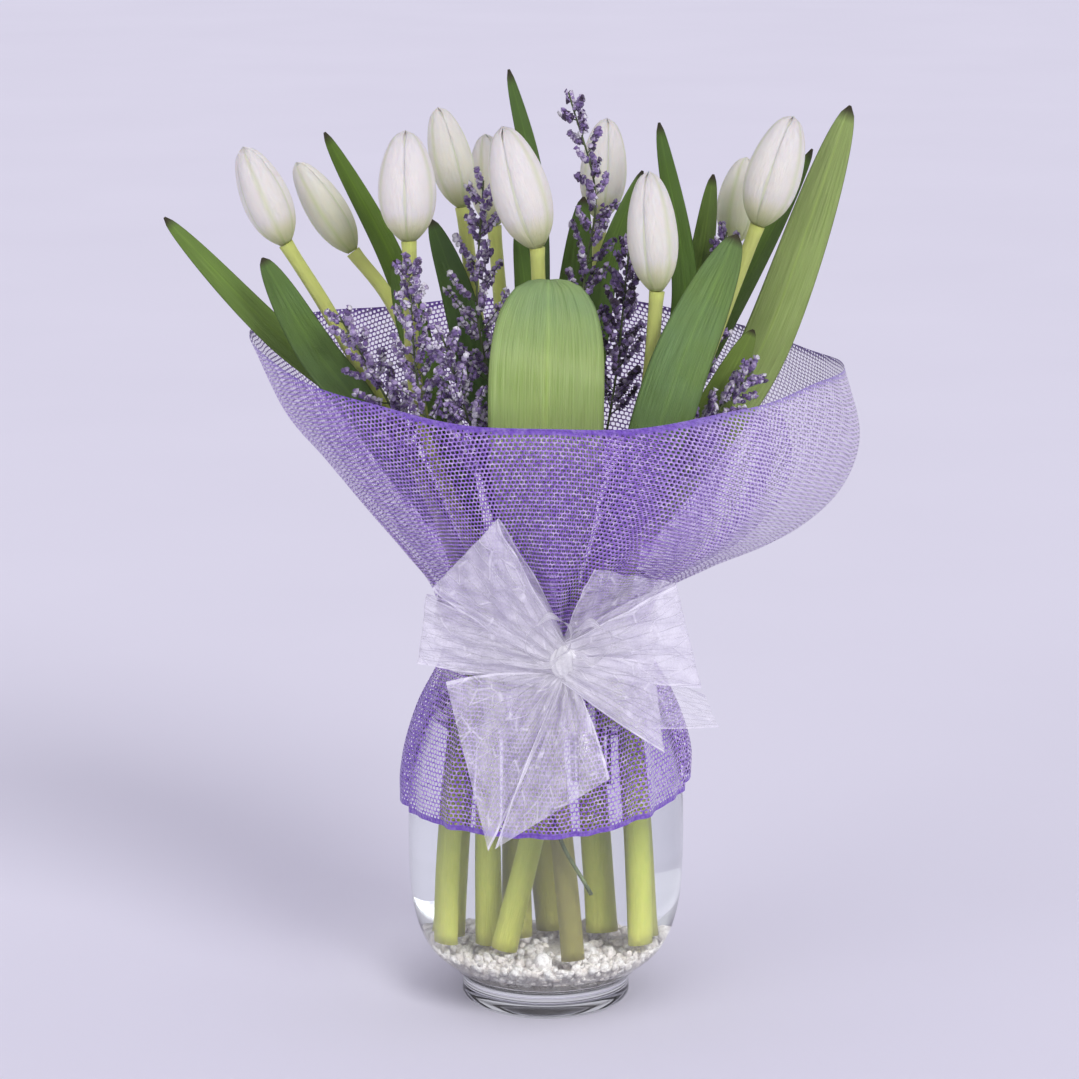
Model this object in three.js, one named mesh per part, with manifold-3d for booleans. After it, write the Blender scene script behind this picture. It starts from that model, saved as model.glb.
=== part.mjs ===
// A bunch of closed white tulips and sea lavender in a round glass vase, wrapped in an open
// purple mesh that an organza ribbon ties at the vase's neck.
// Millimetres, +Z up. The origin is the centre of the vase's foot, and the front faces -Y.
import * as THREE from "three";
import { mergeVertices } from "three/addons/utils/BufferGeometryUtils.js";
import Module from "manifold-3d";

const wasm = await Module();
wasm.setup();

// Clearances
const TOUCH = 0.3; // between pieces that rest on each other
const CUT_END_GAP = 1.4; // under a slanting stem's cut end
const STEM_CLEARANCE = 0.4; // water round a stem

// Vase
const VASE_HEIGHT = 200;
const FOOT_RADIUS = 39;
const FOOT_HEIGHT = 11;
const BELLY_RADIUS = 64.5;
const BELLY_Z = 84;
const NECK_RADIUS = 45;
const NECK_BELOW_MOUTH = 28;
const MOUTH_FLARE = 5; // how much wider the mouth is than the neck, all round
const WALL = 2.5;
const BASE_THICKNESS = 13;
const VASE_SIDES = 28;
const NECK_Z = VASE_HEIGHT - NECK_BELOW_MOUTH;
const MOUTH_RADIUS = NECK_RADIUS + MOUTH_FLARE;

// What the vase holds
const GRAVEL_TOP = 31;
const WATER_LEVEL = 142;

// Plants
const STEM_RADIUS_AT_FOOT = 4.8;
const STEM_RADIUS_AT_HEAD = 3.1;
const STEM_SIDES = 8;
const BUD_SIDES = 10;
const LEAF_THICKNESS = 1.2;
const STALK_RADIUS = 0.9;
const SPRIG_SIDES = 6;
const STEP = 11; // of a stem, so that the water's holes have the stems' own facets

// The bunch is arranged for a neck this wide inside, and is drawn in or let out with the neck up
// to a height above the mouth where it spreads freely.
const ARRANGED_NECK = 42.5;
const FREE_ABOVE_MOUTH = 100;
const SPREAD = (NECK_RADIUS - WALL) / ARRANGED_NECK;

// Wrap and ribbon
const MESH_THICKNESS = 1;
const MESH_GAP = 1.2; // from the glass to the mesh at the neck and the belly
const RIBBON_THICKNESS = 1.4;
const RIBBON_GAP = 3.3; // from the mesh to the band, where the mesh is bunched up
const RIBBON_CLEAR = 2.4; // from the mesh to the middle of a loop or a tail that hangs over it
const BAND_WIDTH = 22;
const BAND_Z = NECK_Z + 4;
const BELLY_MESH = BELLY_RADIUS + MESH_GAP + MESH_THICKNESS;
const NECK_MESH = NECK_RADIUS + MESH_GAP + MESH_THICKNESS;
const MOUTH_MESH = MOUTH_RADIUS + MESH_GAP + MESH_THICKNESS;

const root = new THREE.Group();
const { lerp, clamp } = THREE.MathUtils;
const vector = (point) => new THREE.Vector3(...point);
const curveThrough = (points) => new THREE.CatmullRomCurve3(points, false, "centripetal");

// A point of the bunch, given by its place about the axis and its height above the vase's mouth.
function inBunch([x, y, rise]) {
  const spread = lerp(SPREAD, 1, clamp(rise / FREE_ABOVE_MOUTH, 0, 1));
  return vector([x * spread, y * spread, VASE_HEIGHT + rise]);
}

// The same for a point in the water, given by its height above the water's surface.
const inWater = ([x, y, rise]) => vector([x * SPREAD, y * SPREAD, WATER_LEVEL + rise]);

function finish(name, geometry, material) {
  const mesh = new THREE.Mesh(geometry, material);
  mesh.name = name;
  root.add(mesh);
}

// Keeps only positions, with shared corners merged.
function weld(geometry) {
  const plain = new THREE.BufferGeometry();
  const source = geometry.index ? geometry.toNonIndexed() : geometry;
  plain.setAttribute("position", source.getAttribute("position"));
  return mergeVertices(plain, 1e-4);
}

function solidOf(geometry) {
  const merged = weld(geometry);
  return new wasm.Manifold(
    new wasm.Mesh({
      numProp: 3,
      vertProperties: merged.attributes.position.array,
      triVerts: new Uint32Array(merged.index.array),
    }),
  );
}

function geometryOf(solid) {
  const made = solid.getMesh();
  const geometry = new THREE.BufferGeometry();
  geometry.setAttribute("position", new THREE.BufferAttribute(made.vertProperties, 3));
  geometry.setIndex(new THREE.BufferAttribute(made.triVerts, 1));
  return geometry;
}

// Moves each corner of a geometry to where the function takes it.
function reshape(geometry, place) {
  const welded = weld(geometry);
  const position = welded.attributes.position;
  const corner = new THREE.Vector3();
  for (let i = 0; i < position.count; i++) {
    const moved = place(corner.fromBufferAttribute(position, i));
    position.setXYZ(i, moved.x, moved.y, moved.z);
  }
  return welded;
}

// Numbers from first to last in equal steps, both included.
function evenly(first, last, count) {
  return Array.from({ length: count + 1 }, (_, i) => first + ((last - first) * i) / count);
}

// Turns a profile of [radius, height] points into a solid about Z.
function lathe(profile, sides) {
  const points = profile.map(([r, z]) => new THREE.Vector2(r, z));
  return new THREE.LatheGeometry(points, sides).rotateX(Math.PI / 2);
}

// Carries an upright lathe, with heights from 0 to 1, along a curve.
function latheAlong(profile, sides, curve) {
  return reshape(lathe(profile, sides), ({ x, y, z }) => {
    const along = clamp(z, 0, 1);
    const tangent = curve.getTangentAt(along);
    const across = vector([0, 1, 0]).cross(tangent).normalize();
    const away = tangent.clone().cross(across);
    return curve.getPointAt(along).addScaledVector(across, x).addScaledVector(away, y);
  });
}

// Vase: the outer wall's outline through the foot, the belly, the shoulder, the neck and the mouth.
function shoulderPoint(share, drawnIn) {
  return [lerp(BELLY_RADIUS, NECK_RADIUS, drawnIn), 0, lerp(BELLY_Z, NECK_Z, share)];
}

const outline = curveThrough(
  [
    [FOOT_RADIUS - 0.5, 0, 0],
    [FOOT_RADIUS + 1, 0, FOOT_HEIGHT],
    [BELLY_RADIUS * 0.86, 0, BELLY_Z * 0.31],
    [BELLY_RADIUS * 0.965, 0, BELLY_Z * 0.52],
    [BELLY_RADIUS, 0, BELLY_Z],
    shoulderPoint(0.4, 0.14),
    shoulderPoint(0.72, 0.64),
    [NECK_RADIUS, 0, NECK_Z],
    [MOUTH_RADIUS, 0, VASE_HEIGHT],
  ].map(vector),
).getPoints(160);

// The height or radius in between on a line of points that rises steadily.
function radiusOn(points, z) {
  const above = Math.max(1, points.findIndex((point) => point.z >= z));
  const [low, high] = [points[above - 1], points[above]];
  return lerp(low.x, high.x, clamp((z - low.z) / (high.z - low.z), 0, 1));
}

// The inner wall, from the base up to the mouth, as straight runs between these points.
const innerWall = evenly(BASE_THICKNESS, VASE_HEIGHT, 13).map((z) =>
  vector([radiusOn(outline, z) - WALL, 0, z]),
);

function buildVase(glass) {
  const outer = evenly(0, VASE_HEIGHT, 18).map((z) => [radiusOn(outline, z), z]);
  const inner = innerWall.map(({ x, z }) => [x, z]).reverse();
  const profile = [[0, 0], ...outer, ...inner, [0, BASE_THICKNESS]];
  finish("vase", lathe(profile, VASE_SIDES), glass);
}

// A body that fills the vase between two levels, just clear of its wall.
function vaseFill(low, high) {
  const between = innerWall.map(({ z }) => z).filter((z) => z > low && z < high);
  const side = [low, ...between, high].map((z) => [radiusOn(innerWall, z) - TOUCH, z]);
  return lathe([[0, low], ...side, [0, high]], VASE_SIDES);
}

function buildGravel(gravel) {
  finish("gravel_bed", vaseFill(BASE_THICKNESS + TOUCH, GRAVEL_TOP), gravel);
}

// Tulips: where the stem stands on the gravel, where it leans at the mouth, a point on its way
// up, the bottom and the tip of its flower, and the flower's width.
const tulips = [
  { foot: [-36, -3], mouth: [-38, -4], way: [-94, -8, 120], head: [-117, -10, 159],
    tip: [-135, -12, 202], width: 21 },
  { foot: [-30, 16], mouth: [-30, 13], way: [-69, 10, 126], head: [-88, 12, 152],
    tip: [-113, 14, 192], width: 18 },
  { foot: [-19, 3], mouth: [-28, -19], way: [-57, -34, 90], head: [-61, -29, 163],
    tip: [-62, -30, 212], width: 25 },
  { foot: [-9, 15], mouth: [-13, 12], way: [-29, 14, 100], head: [-38, 15, 172],
    tip: [-49, 15, 217], width: 19 },
  { foot: [2, 27], mouth: [-10, 31], way: [-19, 36, 100], head: [-24, 38, 160],
    tip: [-28, 40, 202], width: 19 },
  { foot: [11, -34], mouth: [-2, -29], way: [-2, -32, 100], head: [-4, -34, 161],
    tip: [-19, -36, 214], width: 25 },
  { foot: [17, 22], mouth: [12, 30], way: [22, 38, 100], head: [25, 40, 163],
    tip: [28, 42, 209], width: 21 },
  { foot: [-15, -9], mouth: [18, -26], way: [44, -37, 90], head: [49, -38, 142],
    tip: [45, -38, 195], width: 22 },
  { foot: [34, -4], mouth: [36, -6], way: [75, -7, 113], head: [95, -8, 167],
    tip: [110, -10, 216], width: 24 },
  { foot: [31, 12], mouth: [31, 18], way: [66, 27, 98], head: [86, 32, 153],
    tip: [92, 34, 192], width: 20 },
];

// A stem's line, made longer at its cut end if asked.
function stemCurve({ foot, mouth, way, head }, longer = 0) {
  const [end, next, ...rest] = [[...foot, 0], [...mouth, 0], way, head].map(inBunch);
  end.setZ(GRAVEL_TOP + CUT_END_GAP);
  const outward = end.clone().sub(next).normalize();
  return curveThrough([end.addScaledVector(outward, longer), next, ...rest]);
}

// A stem's round profile, thicker at its foot, grown all over by an allowance.
function stemProfile(allowance) {
  const side = evenly(0, 1, STEP).map((along) => [
    lerp(STEM_RADIUS_AT_FOOT, STEM_RADIUS_AT_HEAD, along) + allowance,
    along,
  ]);
  return [[0, 0], ...side, [0, 1]];
}

// A closed tulip's outline, as shares of its half width and its length: full low down and drawn
// in to a blunt point.
const budOutline = [
  [0, 0],
  [0.4, 0.02],
  [0.76, 0.12],
  [0.97, 0.28],
  [1, 0.43],
  [0.88, 0.62],
  [0.62, 0.8],
  [0.3, 0.94],
  [0, 1],
];

function buildTulips(stemGreen, petal) {
  tulips.forEach((tulip, i) => {
    const number = String(i + 1).padStart(2, "0");
    const curve = stemCurve(tulip);
    finish(`tulip_stem_${number}`, latheAlong(stemProfile(0), STEM_SIDES, curve), stemGreen);
    const [bottom, top] = [tulip.head, tulip.tip].map(inBunch);
    const axis = top.clone().sub(bottom).normalize();
    const line = new THREE.LineCurve3(bottom.addScaledVector(axis, TOUCH), top);
    const profile = budOutline.map(([r, along]) => [(r * tulip.width) / 2, along]);
    finish(`tulip_flower_${number}`, latheAlong(profile, BUD_SIDES, line), petal);
  });
}

// Leaves: the points of the midrib from base to tip, the full width, the direction that the
// inner face looks in, how deep the blade is channelled as a share of its half width, and
// whether the end is round.
const leaves = [
  { rib: [[-52, 8, 26], [-88, 6, 85], [-123, 0, 117], [-172, -4, 170]],
    width: 14, face: [0.2, -1, 0.4], channel: 0.3 },
  { rib: [[-62, -15, 46], [-84, -16, 85], [-104, -17, 112], [-127, -19, 154]],
    width: 18, face: [0.1, -1, 0.1], channel: 0.25 },
  { rib: [[-40, 26, 26], [-56, 26, 100], [-70, 25, 145], [-101, 24, 205]],
    width: 12, face: [0.2, -1, 0.1], channel: 0.4 },
  { rib: [[2, -45, 15], [0, -55, 58], [0, -59, 105], [1, -58, 149]],
    width: 51, face: [0, -1, 0], channel: -0.12, roundEnd: true },
  { rib: [[26, -43, 20], [45, -52, 68], [60, -54, 115], [84, -42, 168]],
    width: 27, face: [-0.1, -1, 0.1], channel: 0.2 },
  { rib: [[44, 5, 20], [72, 5, 62], [97, 6, 105], [137, 8, 219]],
    width: 23, face: [-0.3, -1, 0.1], channel: 0.35 },
  { rib: [[30, 2, 20], [49, 2, 72], [63, 3, 130], [51, 11, 211]],
    width: 12, face: [0, -1, 0], channel: 0.3 },
  { rib: [[14, 9, 26], [20, 11, 90], [29, 15, 148], [44, 20, 188]],
    width: 12, face: [0, -1, 0], channel: 0.3 },
  { rib: [[-6, 12, 26], [-4, 15, 100], [-5, 18, 180], [-17, 20, 234]],
    width: 11, face: [0.2, -1, 0], channel: 0.35 },
  { rib: [[6, -4, 26], [8, -1, 90], [13, 3, 137], [17, 6, 178]],
    width: 17, face: [0, -1, 0], channel: 0.25 },
  { rib: [[-20, 0, 26], [-30, 1, 90], [-41, 4, 136], [-52, 4, 168]],
    width: 17, face: [0, -1, 0], channel: 0.25 },
  { rib: [[27, 14, 30], [50, 14, 82], [69, 14, 140], [76, 15, 187]],
    width: 13, face: [0, -1, 0], channel: 0.3 },
  { rib: [[-31, -8, 26], [-48, -13, 85], [-60, -17, 120], [-68, -19, 153]],
    width: 15, face: [0.1, -1, 0], channel: 0.25 },
  { rib: [[-9, -13, 26], [-9, -14, 90], [-9, -14, 135], [-13, -15, 167]],
    width: 12, face: [0, -1, 0], channel: 0.3 },
  { rib: [[47, -14, 34], [62, -20, 62], [80, -24, 96], [93, -22, 122]],
    width: 15, face: [0, -1, 0.1], channel: 0.25 },
  { rib: [[34, 30, 30], [70, 41, 90], [100, 27, 152], [121, 19, 198]],
    width: 11, face: [0, -1, 0], channel: 0.3 },
];

// The share of its full width that a blade has along its rib.
function bladeShare(along, roundEnd) {
  if (roundEnd) {
    const widening = 0.5 + 0.5 * Math.sin((Math.PI / 2) * Math.min(along * 2, 1));
    return widening * Math.sqrt(1 - 0.97 * Math.max((along - 0.8) / 0.2, 0) ** 2);
  }
  const sheath = Math.max(0.42 - along, 0) * 0.5;
  const swell = 0.12 + 0.88 * Math.sin(Math.PI * Math.pow(along, 0.8)) ** 0.7;
  return sheath + swell * (1 - along ** 6);
}

function leafGeometry({ rib, width, face, channel, roundEnd }) {
  const curve = curveThrough(rib.map(inBunch));
  const looking = vector(face).normalize();
  return reshape(new THREE.BoxGeometry(2, 1, 1, 2, 1, 10), ({ x: side, y: through, z }) => {
    const along = z + 0.5;
    const tangent = curve.getTangentAt(along);
    const across = looking.clone().cross(tangent).normalize();
    const normal = tangent.clone().cross(across);
    const half = Math.max((bladeShare(along, roundEnd) * width) / 2, LEAF_THICKNESS);
    const lift = channel * half * Math.abs(side) + through * LEAF_THICKNESS;
    return curve.getPointAt(along).addScaledVector(across, side * half).addScaledVector(normal, lift);
  });
}

function buildLeaves(leafGreen) {
  leaves.forEach((leaf, i) => {
    finish(`leaf_${String(i + 1).padStart(2, "0")}`, leafGeometry(leaf), leafGreen);
  });
}

// Sea lavender: the points of a stalk in the water from its cut end, the points above the mouth
// to its tip, the share of it at which the flowers begin, and the radius of the tuft.
const sprigs = [
  { wet: [[4, -9, -34]], dry: [[6, -11, 0], [11, -15, 90], [18, -16, 150], [22, -15, 182],
    [10, -14, 227]], from: 0.7, tuft: 9 },
  { wet: [[-11, -8, -34]], dry: [[-18, -9, 0], [-25, -12, 90], [-31, -14, 130], [-28, -14, 188]],
    from: 0.76, tuft: 10 },
  { wet: [[-29, -16, -34]], dry: [[-32, -12, 0], [-50, -19, 45], [-68, -26, 84], [-92, -33, 130]],
    from: 0.76, tuft: 10 },
  { wet: [[19, -42, -78], [4, -41, -46]], dry: [[-10, -39, 0], [-20, -43, 38], [-34, -48, 84],
    [-46, -52, 125]], from: 0.79, tuft: 11 },
  { wet: [[-15, -24, -34]], dry: [[-17, -32, 0], [-34, -44, 40], [-55, -45, 92], [-61, -43, 156]],
    from: 0.82, tuft: 7 },
  { wet: [[10, -12, -34]], dry: [[11, -15, 0], [20, -17, 40], [30, -19, 90], [37, -20, 158]],
    from: 0.79, tuft: 9 },
  { wet: [[24, -16, -34]], dry: [[28, -20, 0], [44, -33, 35], [64, -38, 72], [92, -38, 106]],
    from: 0.79, tuft: 9 },
  { wet: [[18, 2, -34]], dry: [[24, 3, 0], [36, 8, 28], [55, 9, 70], [71, 6, 112], [82, 5, 162]],
    from: 0.82, tuft: 6 },
];

// A sprig's stalk, made longer at its cut end if asked.
function sprigCurve({ wet, dry }, longer = 0) {
  const [end, next, ...rest] = [...wet.map(inWater), ...dry.map(inBunch)];
  const outward = end.clone().sub(next).normalize();
  return curveThrough([end.addScaledVector(outward, longer), next, ...rest]);
}

function sprigProfile({ from, tuft }, allowance = 0) {
  const bare = evenly(0, from, 7).map((along) => [STALK_RADIUS + allowance, along]);
  const flowers = [0.2, 0.45, 0.7, 0.9].map((share) => [
    tuft * Math.sin(Math.PI * (0.1 + 0.85 * share)) + allowance,
    lerp(from, 1, share),
  ]);
  return [[0, 0], ...bare, ...flowers, [0, 1]];
}

function buildSprigs(lilac) {
  sprigs.forEach((sprig, i) => {
    const geometry = latheAlong(sprigProfile(sprig), SPRIG_SIDES, sprigCurve(sprig));
    finish(`sea_lavender_${i + 1}`, geometry, lilac);
  });
}

// Water, with a way through it for every stem and every stalk that ends in it.
function buildWater(water) {
  const holes = [
    ...tulips.map((tulip) => {
      const curve = stemCurve(tulip, 2 * CUT_END_GAP);
      return latheAlong(stemProfile(STEM_CLEARANCE), STEM_SIDES, curve);
    }),
    ...sprigs.map((sprig) => {
      const curve = sprigCurve(sprig, STEM_CLEARANCE);
      return latheAlong(sprigProfile(sprig, STEM_CLEARANCE), SPRIG_SIDES, curve);
    }),
  ];
  let body = solidOf(vaseFill(GRAVEL_TOP + TOUCH, WATER_LEVEL));
  for (const hole of holes) body = body.subtract(solidOf(hole));
  finish("water", geometryOf(body), water);
}

// Wrap: rings from hem to rim. Each gives the reach and the height of the sheet at the right,
// the back, the left and the front. The lower rings follow the vase, and the upper ones spread
// out above its mouth.
const onBelly = (more, rise) => [BELLY_MESH + more, BELLY_Z + rise];
const onShoulder = (drawnIn, below) => [lerp(BELLY_MESH, NECK_MESH, drawnIn), NECK_Z - below];
const onNeck = (more, rise) => [NECK_MESH + more, NECK_Z + rise];
const atMouth = (more, rise) => [MOUTH_MESH + more, VASE_HEIGHT + rise];
const above = (reach, rise) => [inBunch([reach, 0, rise]).x, VASE_HEIGHT + rise];
const rings = [
  { right: onBelly(0, 23), back: onBelly(0, 17), left: onBelly(1, 13), front: onBelly(0, 13) },
  { right: onBelly(0, 38), back: onBelly(0, 33), left: onBelly(0.5, 30), front: onBelly(1, 30) },
  { right: onShoulder(0.34, 28), back: onShoulder(0.34, 30),
    left: onShoulder(0.34, 32), front: onShoulder(0.3, 32) },
  { right: onNeck(3, -9), back: onNeck(3, -9), left: onNeck(2, -9), front: onNeck(3, -10) },
  { right: onNeck(0, 4), back: onNeck(0, 4), left: onNeck(0, 4), front: onNeck(0, 4) },
  { right: atMouth(1, -3), back: atMouth(0, -1), left: atMouth(0, -1), front: atMouth(0, -1) },
  { right: above(76, 10), back: above(55, 14), left: above(65, 16), front: above(57, 12) },
  { right: above(112, 25), back: above(58, 35), left: above(84, 38), front: above(63, 31) },
  { right: above(134, 45), back: above(61, 60), left: above(104, 62), front: above(69, 51) },
  { right: above(142, 68), back: above(64, 87), left: above(121, 82), front: above(74, 71) },
  { right: above(134, 101), back: above(66, 122), left: above(137, 116), front: above(77, 87) },
];

function sheetProfile(side) {
  return curveThrough(rings.map((ring) => vector([ring[side][0], 0, ring[side][1]])));
}

const sides = ["right", "back", "left", "front"];
const sheetProfiles = Object.fromEntries(sides.map((side) => [side, sheetProfile(side)]));

// A point of the wrap at a share of the way up and an angle from the right, turning to the back.
function wrapPoint(up, angle, inward) {
  const [cos, sin] = [Math.cos(angle), Math.sin(angle)];
  const sideways = sheetProfiles[cos >= 0 ? "right" : "left"].getPoint(clamp(up, 0, 1));
  const foreAndAft = sheetProfiles[sin >= 0 ? "back" : "front"].getPoint(clamp(up, 0, 1));
  return vector([
    (sideways.x - inward) * cos,
    (foreAndAft.x - inward) * sin,
    sideways.z * cos ** 2 + foreAndAft.z * sin ** 2,
  ]);
}

// How far forward the wrap's front reaches at a distance from the middle and a height.
const sheetLines = Object.fromEntries(sides.map((side) => [side, sheetProfiles[side].getPoints(80)]));

function wrapFront(x, z) {
  const halfWidth = radiusOn(sheetLines[x >= 0 ? "right" : "left"], z);
  return radiusOn(sheetLines.front, z) * Math.sqrt(Math.max(1 - (x / halfWidth) ** 2, 0));
}

// The cloth is in five pieces: a skirt, from the hem to just above the mouth, and four walls that
// stand round the bunch above it. Slits a touch wide part them, a level one and two upright ones.
const SKIRT_ABOVE_MOUTH = 6;
const WALL_CORNER = 35; // degrees from the right or the left to an upright slit
const WALLS = { right: [1, 0], back: [0, 1], left: [-1, 0], front: [0, -1] };

function wrapSheet() {
  const [aroundSteps, upSteps] = [36, 14];
  // A closed band of radius 2 outside and 1 inside: up the outer face and down the inner one.
  const outer = evenly(0, 1, upSteps).map((up) => [2, up]);
  const inner = evenly(1, 0, upSteps).map((up) => [1, up]);
  const band = lathe([...outer, ...inner, outer[0]], aroundSteps);
  return reshape(band, ({ x, y, z }) => {
    const inward = Math.hypot(x, y) > 1.5 ? 0 : MESH_THICKNESS;
    return wrapPoint(z, Math.atan2(y, x), inward);
  });
}

function slits() {
  const reach = 8 * BELLY_MESH;
  const level = new THREE.BoxGeometry(reach, reach, TOUCH);
  const upright = [WALL_CORNER, -WALL_CORNER].map((degrees) =>
    new THREE.BoxGeometry(reach, TOUCH, reach)
      .translate(0, 0, reach / 2)
      .rotateZ(THREE.MathUtils.degToRad(degrees)),
  );
  return [level, ...upright].map((slit) => slit.translate(0, 0, VASE_HEIGHT + SKIRT_ABOVE_MOUTH));
}

function buildWrap(mesh) {
  let sheet = solidOf(wrapSheet());
  for (const slit of slits()) sheet = sheet.subtract(solidOf(slit));
  const pieces = sheet.decompose().map((solid) => ({ solid, box: solid.boundingBox() }));
  const lowestFirst = pieces.sort((a, b) => a.box.min[2] - b.box.min[2]);
  const [skirt, ...walls] = lowestFirst;
  finish("mesh_skirt", geometryOf(skirt.solid), mesh);
  for (const [side, way] of Object.entries(WALLS)) {
    const out = ({ box }) =>
      way[0] * (box.min[0] + box.max[0]) + way[1] * (box.min[1] + box.max[1]);
    const wall = walls.reduce((a, b) => (out(b) > out(a) ? b : a));
    finish(`mesh_wall_${side}`, geometryOf(wall.solid), mesh);
  }
}

// Ribbon: a band round the waist, the knot in front of it, and panels for the loops and tails. A
// panel is given by its two corners at the knot and its two outer corners. Each corner gives how
// far it is to the right, how far in front of the knot's middle or of the wrap, and how far above
// the knot's middle. A panel swells forward in the middle, and keeps in front of the wrap.
const KNOT_X = 8;
const KNOT_FRONT = NECK_MESH + 11.8;
const KNOT_Z = NECK_Z + 6;
const KNOT_RADII = [9, 6, 9.5];
const byKnot = ([x, forward, rise]) => vector([x, -KNOT_FRONT - forward, KNOT_Z + rise]);
const byWrap = ([x, forward, rise]) =>
  vector([x, -wrapFront(x, KNOT_Z + rise) - forward, KNOT_Z + rise]);
const panels = {
  bow_loop_upper_left: { knot: [[-3, -1, 3], [3, 1, 11.5]].map(byKnot),
    outer: [byKnot([-51, -9, 33]), byKnot([-23, 12, 66])], swell: 4 },
  bow_loop_left: { knot: [[-3, -5, -6], [-3.5, -5, 1.5]].map(byKnot),
    outer: [byKnot([-52, -15, -8]), byKnot([-56, -16, 26])], swell: 5 },
  bow_loop_upper_right: { knot: [[14, 1, 11.5], [18.5, -2, 3]].map(byKnot),
    outer: [byKnot([26, 8, 44]), byKnot([64, -5, 36])], swell: 5 },
  bow_loop_right: { knot: [[18.5, -1, 1], [14, 1, -10]].map(byKnot),
    outer: [byKnot([74, -15, -14]), byKnot([58, 1, -41])], swell: 5 },
  bow_tail_left: { knot: [[7, -1, -11.5], [-2.5, -2, -8]].map(byKnot),
    outer: [byWrap([-22, 10, -84]), byKnot([-45, 3, -12])], swell: 3 },
  bow_tail_right: { knot: [[13, 1, -11.5], [8.5, 1, -12]].map(byKnot),
    outer: [byWrap([30, 16, -48]), byWrap([-16, 11, -80])], swell: 3 },
};

function panelGeometry({ knot: [nearFirst, nearLast], outer: [farFirst, farLast], swell }) {
  const along = farFirst.clone().add(farLast).sub(nearFirst).sub(nearLast);
  const across = nearLast.clone().add(farLast).sub(nearFirst).sub(farFirst);
  const normal = across.cross(along).normalize();
  const turned = normal.y > 0; // so that the normal faces the front and the faces point out
  if (turned) normal.negate();
  return reshape(new THREE.BoxGeometry(1, 1, 1, 4, 1, 4), ({ x, y, z }) => {
    const [out, over] = [x + 0.5, (turned ? -z : z) + 0.5];
    const near = nearFirst.clone().lerp(nearLast, over);
    const far = farFirst.clone().lerp(farLast, over);
    const lift = swell * Math.sin(Math.PI * out) * Math.sin(Math.PI * over);
    const middle = near.lerp(far, out).addScaledVector(normal, lift);
    middle.y = Math.min(middle.y, -wrapFront(middle.x, middle.z) - RIBBON_CLEAR);
    return middle.addScaledVector(normal, y * RIBBON_THICKNESS);
  });
}

function buildRibbon(organza) {
  const inner = NECK_MESH + RIBBON_GAP;
  const outer = inner + RIBBON_THICKNESS;
  const [low, high] = [BAND_Z - BAND_WIDTH / 2, BAND_Z + BAND_WIDTH / 2];
  const ring = [[inner, low], [outer, low], [outer, high], [inner, high], [inner, low]];
  finish("ribbon_band", lathe(ring, VASE_SIDES), organza);
  const knot = new THREE.SphereGeometry(1, 10, 8).scale(...KNOT_RADII);
  finish("bow_knot", knot.translate(KNOT_X, -KNOT_FRONT, KNOT_Z), organza);
  for (const [name, panel] of Object.entries(panels)) {
    finish(name, panelGeometry(panel), organza);
  }
}

function material(color, roughness) {
  return new THREE.MeshStandardMaterial({ color, roughness, metalness: 0 });
}

buildVase(material(0xe8edf0, 0.05));
buildGravel(material(0xd9d2cd, 0.8));
buildWater(material(0xe6eef0, 0.05));
buildTulips(material(0xa9bf5a, 0.5), material(0xf0e6e4, 0.5));
buildLeaves(material(0x6f9a4a, 0.45));
buildSprigs(material(0x8f7cb8, 0.8));
buildWrap(material(0x7a55c8, 0.6));
buildRibbon(material(0xeeeaf6, 0.4));

export default root;
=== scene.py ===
import bmesh
import bpy
import numpy as np
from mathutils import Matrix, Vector


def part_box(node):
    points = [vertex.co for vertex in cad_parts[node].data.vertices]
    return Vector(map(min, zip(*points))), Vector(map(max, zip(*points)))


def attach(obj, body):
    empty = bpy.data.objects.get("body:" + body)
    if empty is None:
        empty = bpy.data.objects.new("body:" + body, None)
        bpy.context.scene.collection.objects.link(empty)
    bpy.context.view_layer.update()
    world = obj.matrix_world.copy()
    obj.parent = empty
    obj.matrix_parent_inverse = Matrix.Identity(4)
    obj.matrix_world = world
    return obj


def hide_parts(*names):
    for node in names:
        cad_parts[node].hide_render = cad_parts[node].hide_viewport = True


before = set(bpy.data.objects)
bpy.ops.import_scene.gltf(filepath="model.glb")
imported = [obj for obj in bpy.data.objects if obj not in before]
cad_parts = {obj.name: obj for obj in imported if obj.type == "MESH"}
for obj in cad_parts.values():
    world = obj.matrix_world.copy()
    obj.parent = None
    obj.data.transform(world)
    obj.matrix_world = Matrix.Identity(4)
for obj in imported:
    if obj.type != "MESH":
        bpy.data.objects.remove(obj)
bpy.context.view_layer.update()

# The view and the light: a camera a little above the flowers with a narrow lens, a pale lilac
# floor that runs out past the view, and soft light from the front right and from all round.
scene = bpy.context.scene
scene.view_settings.view_transform = "Standard"
scene.cycles.transparent_max_bounces = 32
CAMERA_AT = Vector((-0.003, -1.6, 0.6))
CAMERA_AIM = Vector((-0.003, 0, 0.22))
camera = bpy.data.objects.new("camera", bpy.data.cameras.new("camera"))
camera.data.sensor_width = 36
camera.data.lens = 119
camera.location = CAMERA_AT
camera.rotation_euler = (CAMERA_AIM - CAMERA_AT).to_track_quat("-Z", "Y").to_euler()
scene.collection.objects.link(camera)
scene.camera = camera

scene.world = bpy.data.worlds.new("studio")
scene.world.use_nodes = True
background = scene.world.node_tree.nodes["Background"]
background.inputs["Color"].default_value = (0.90, 0.88, 1.0, 1)
background.inputs["Strength"].default_value = 0.62


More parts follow.
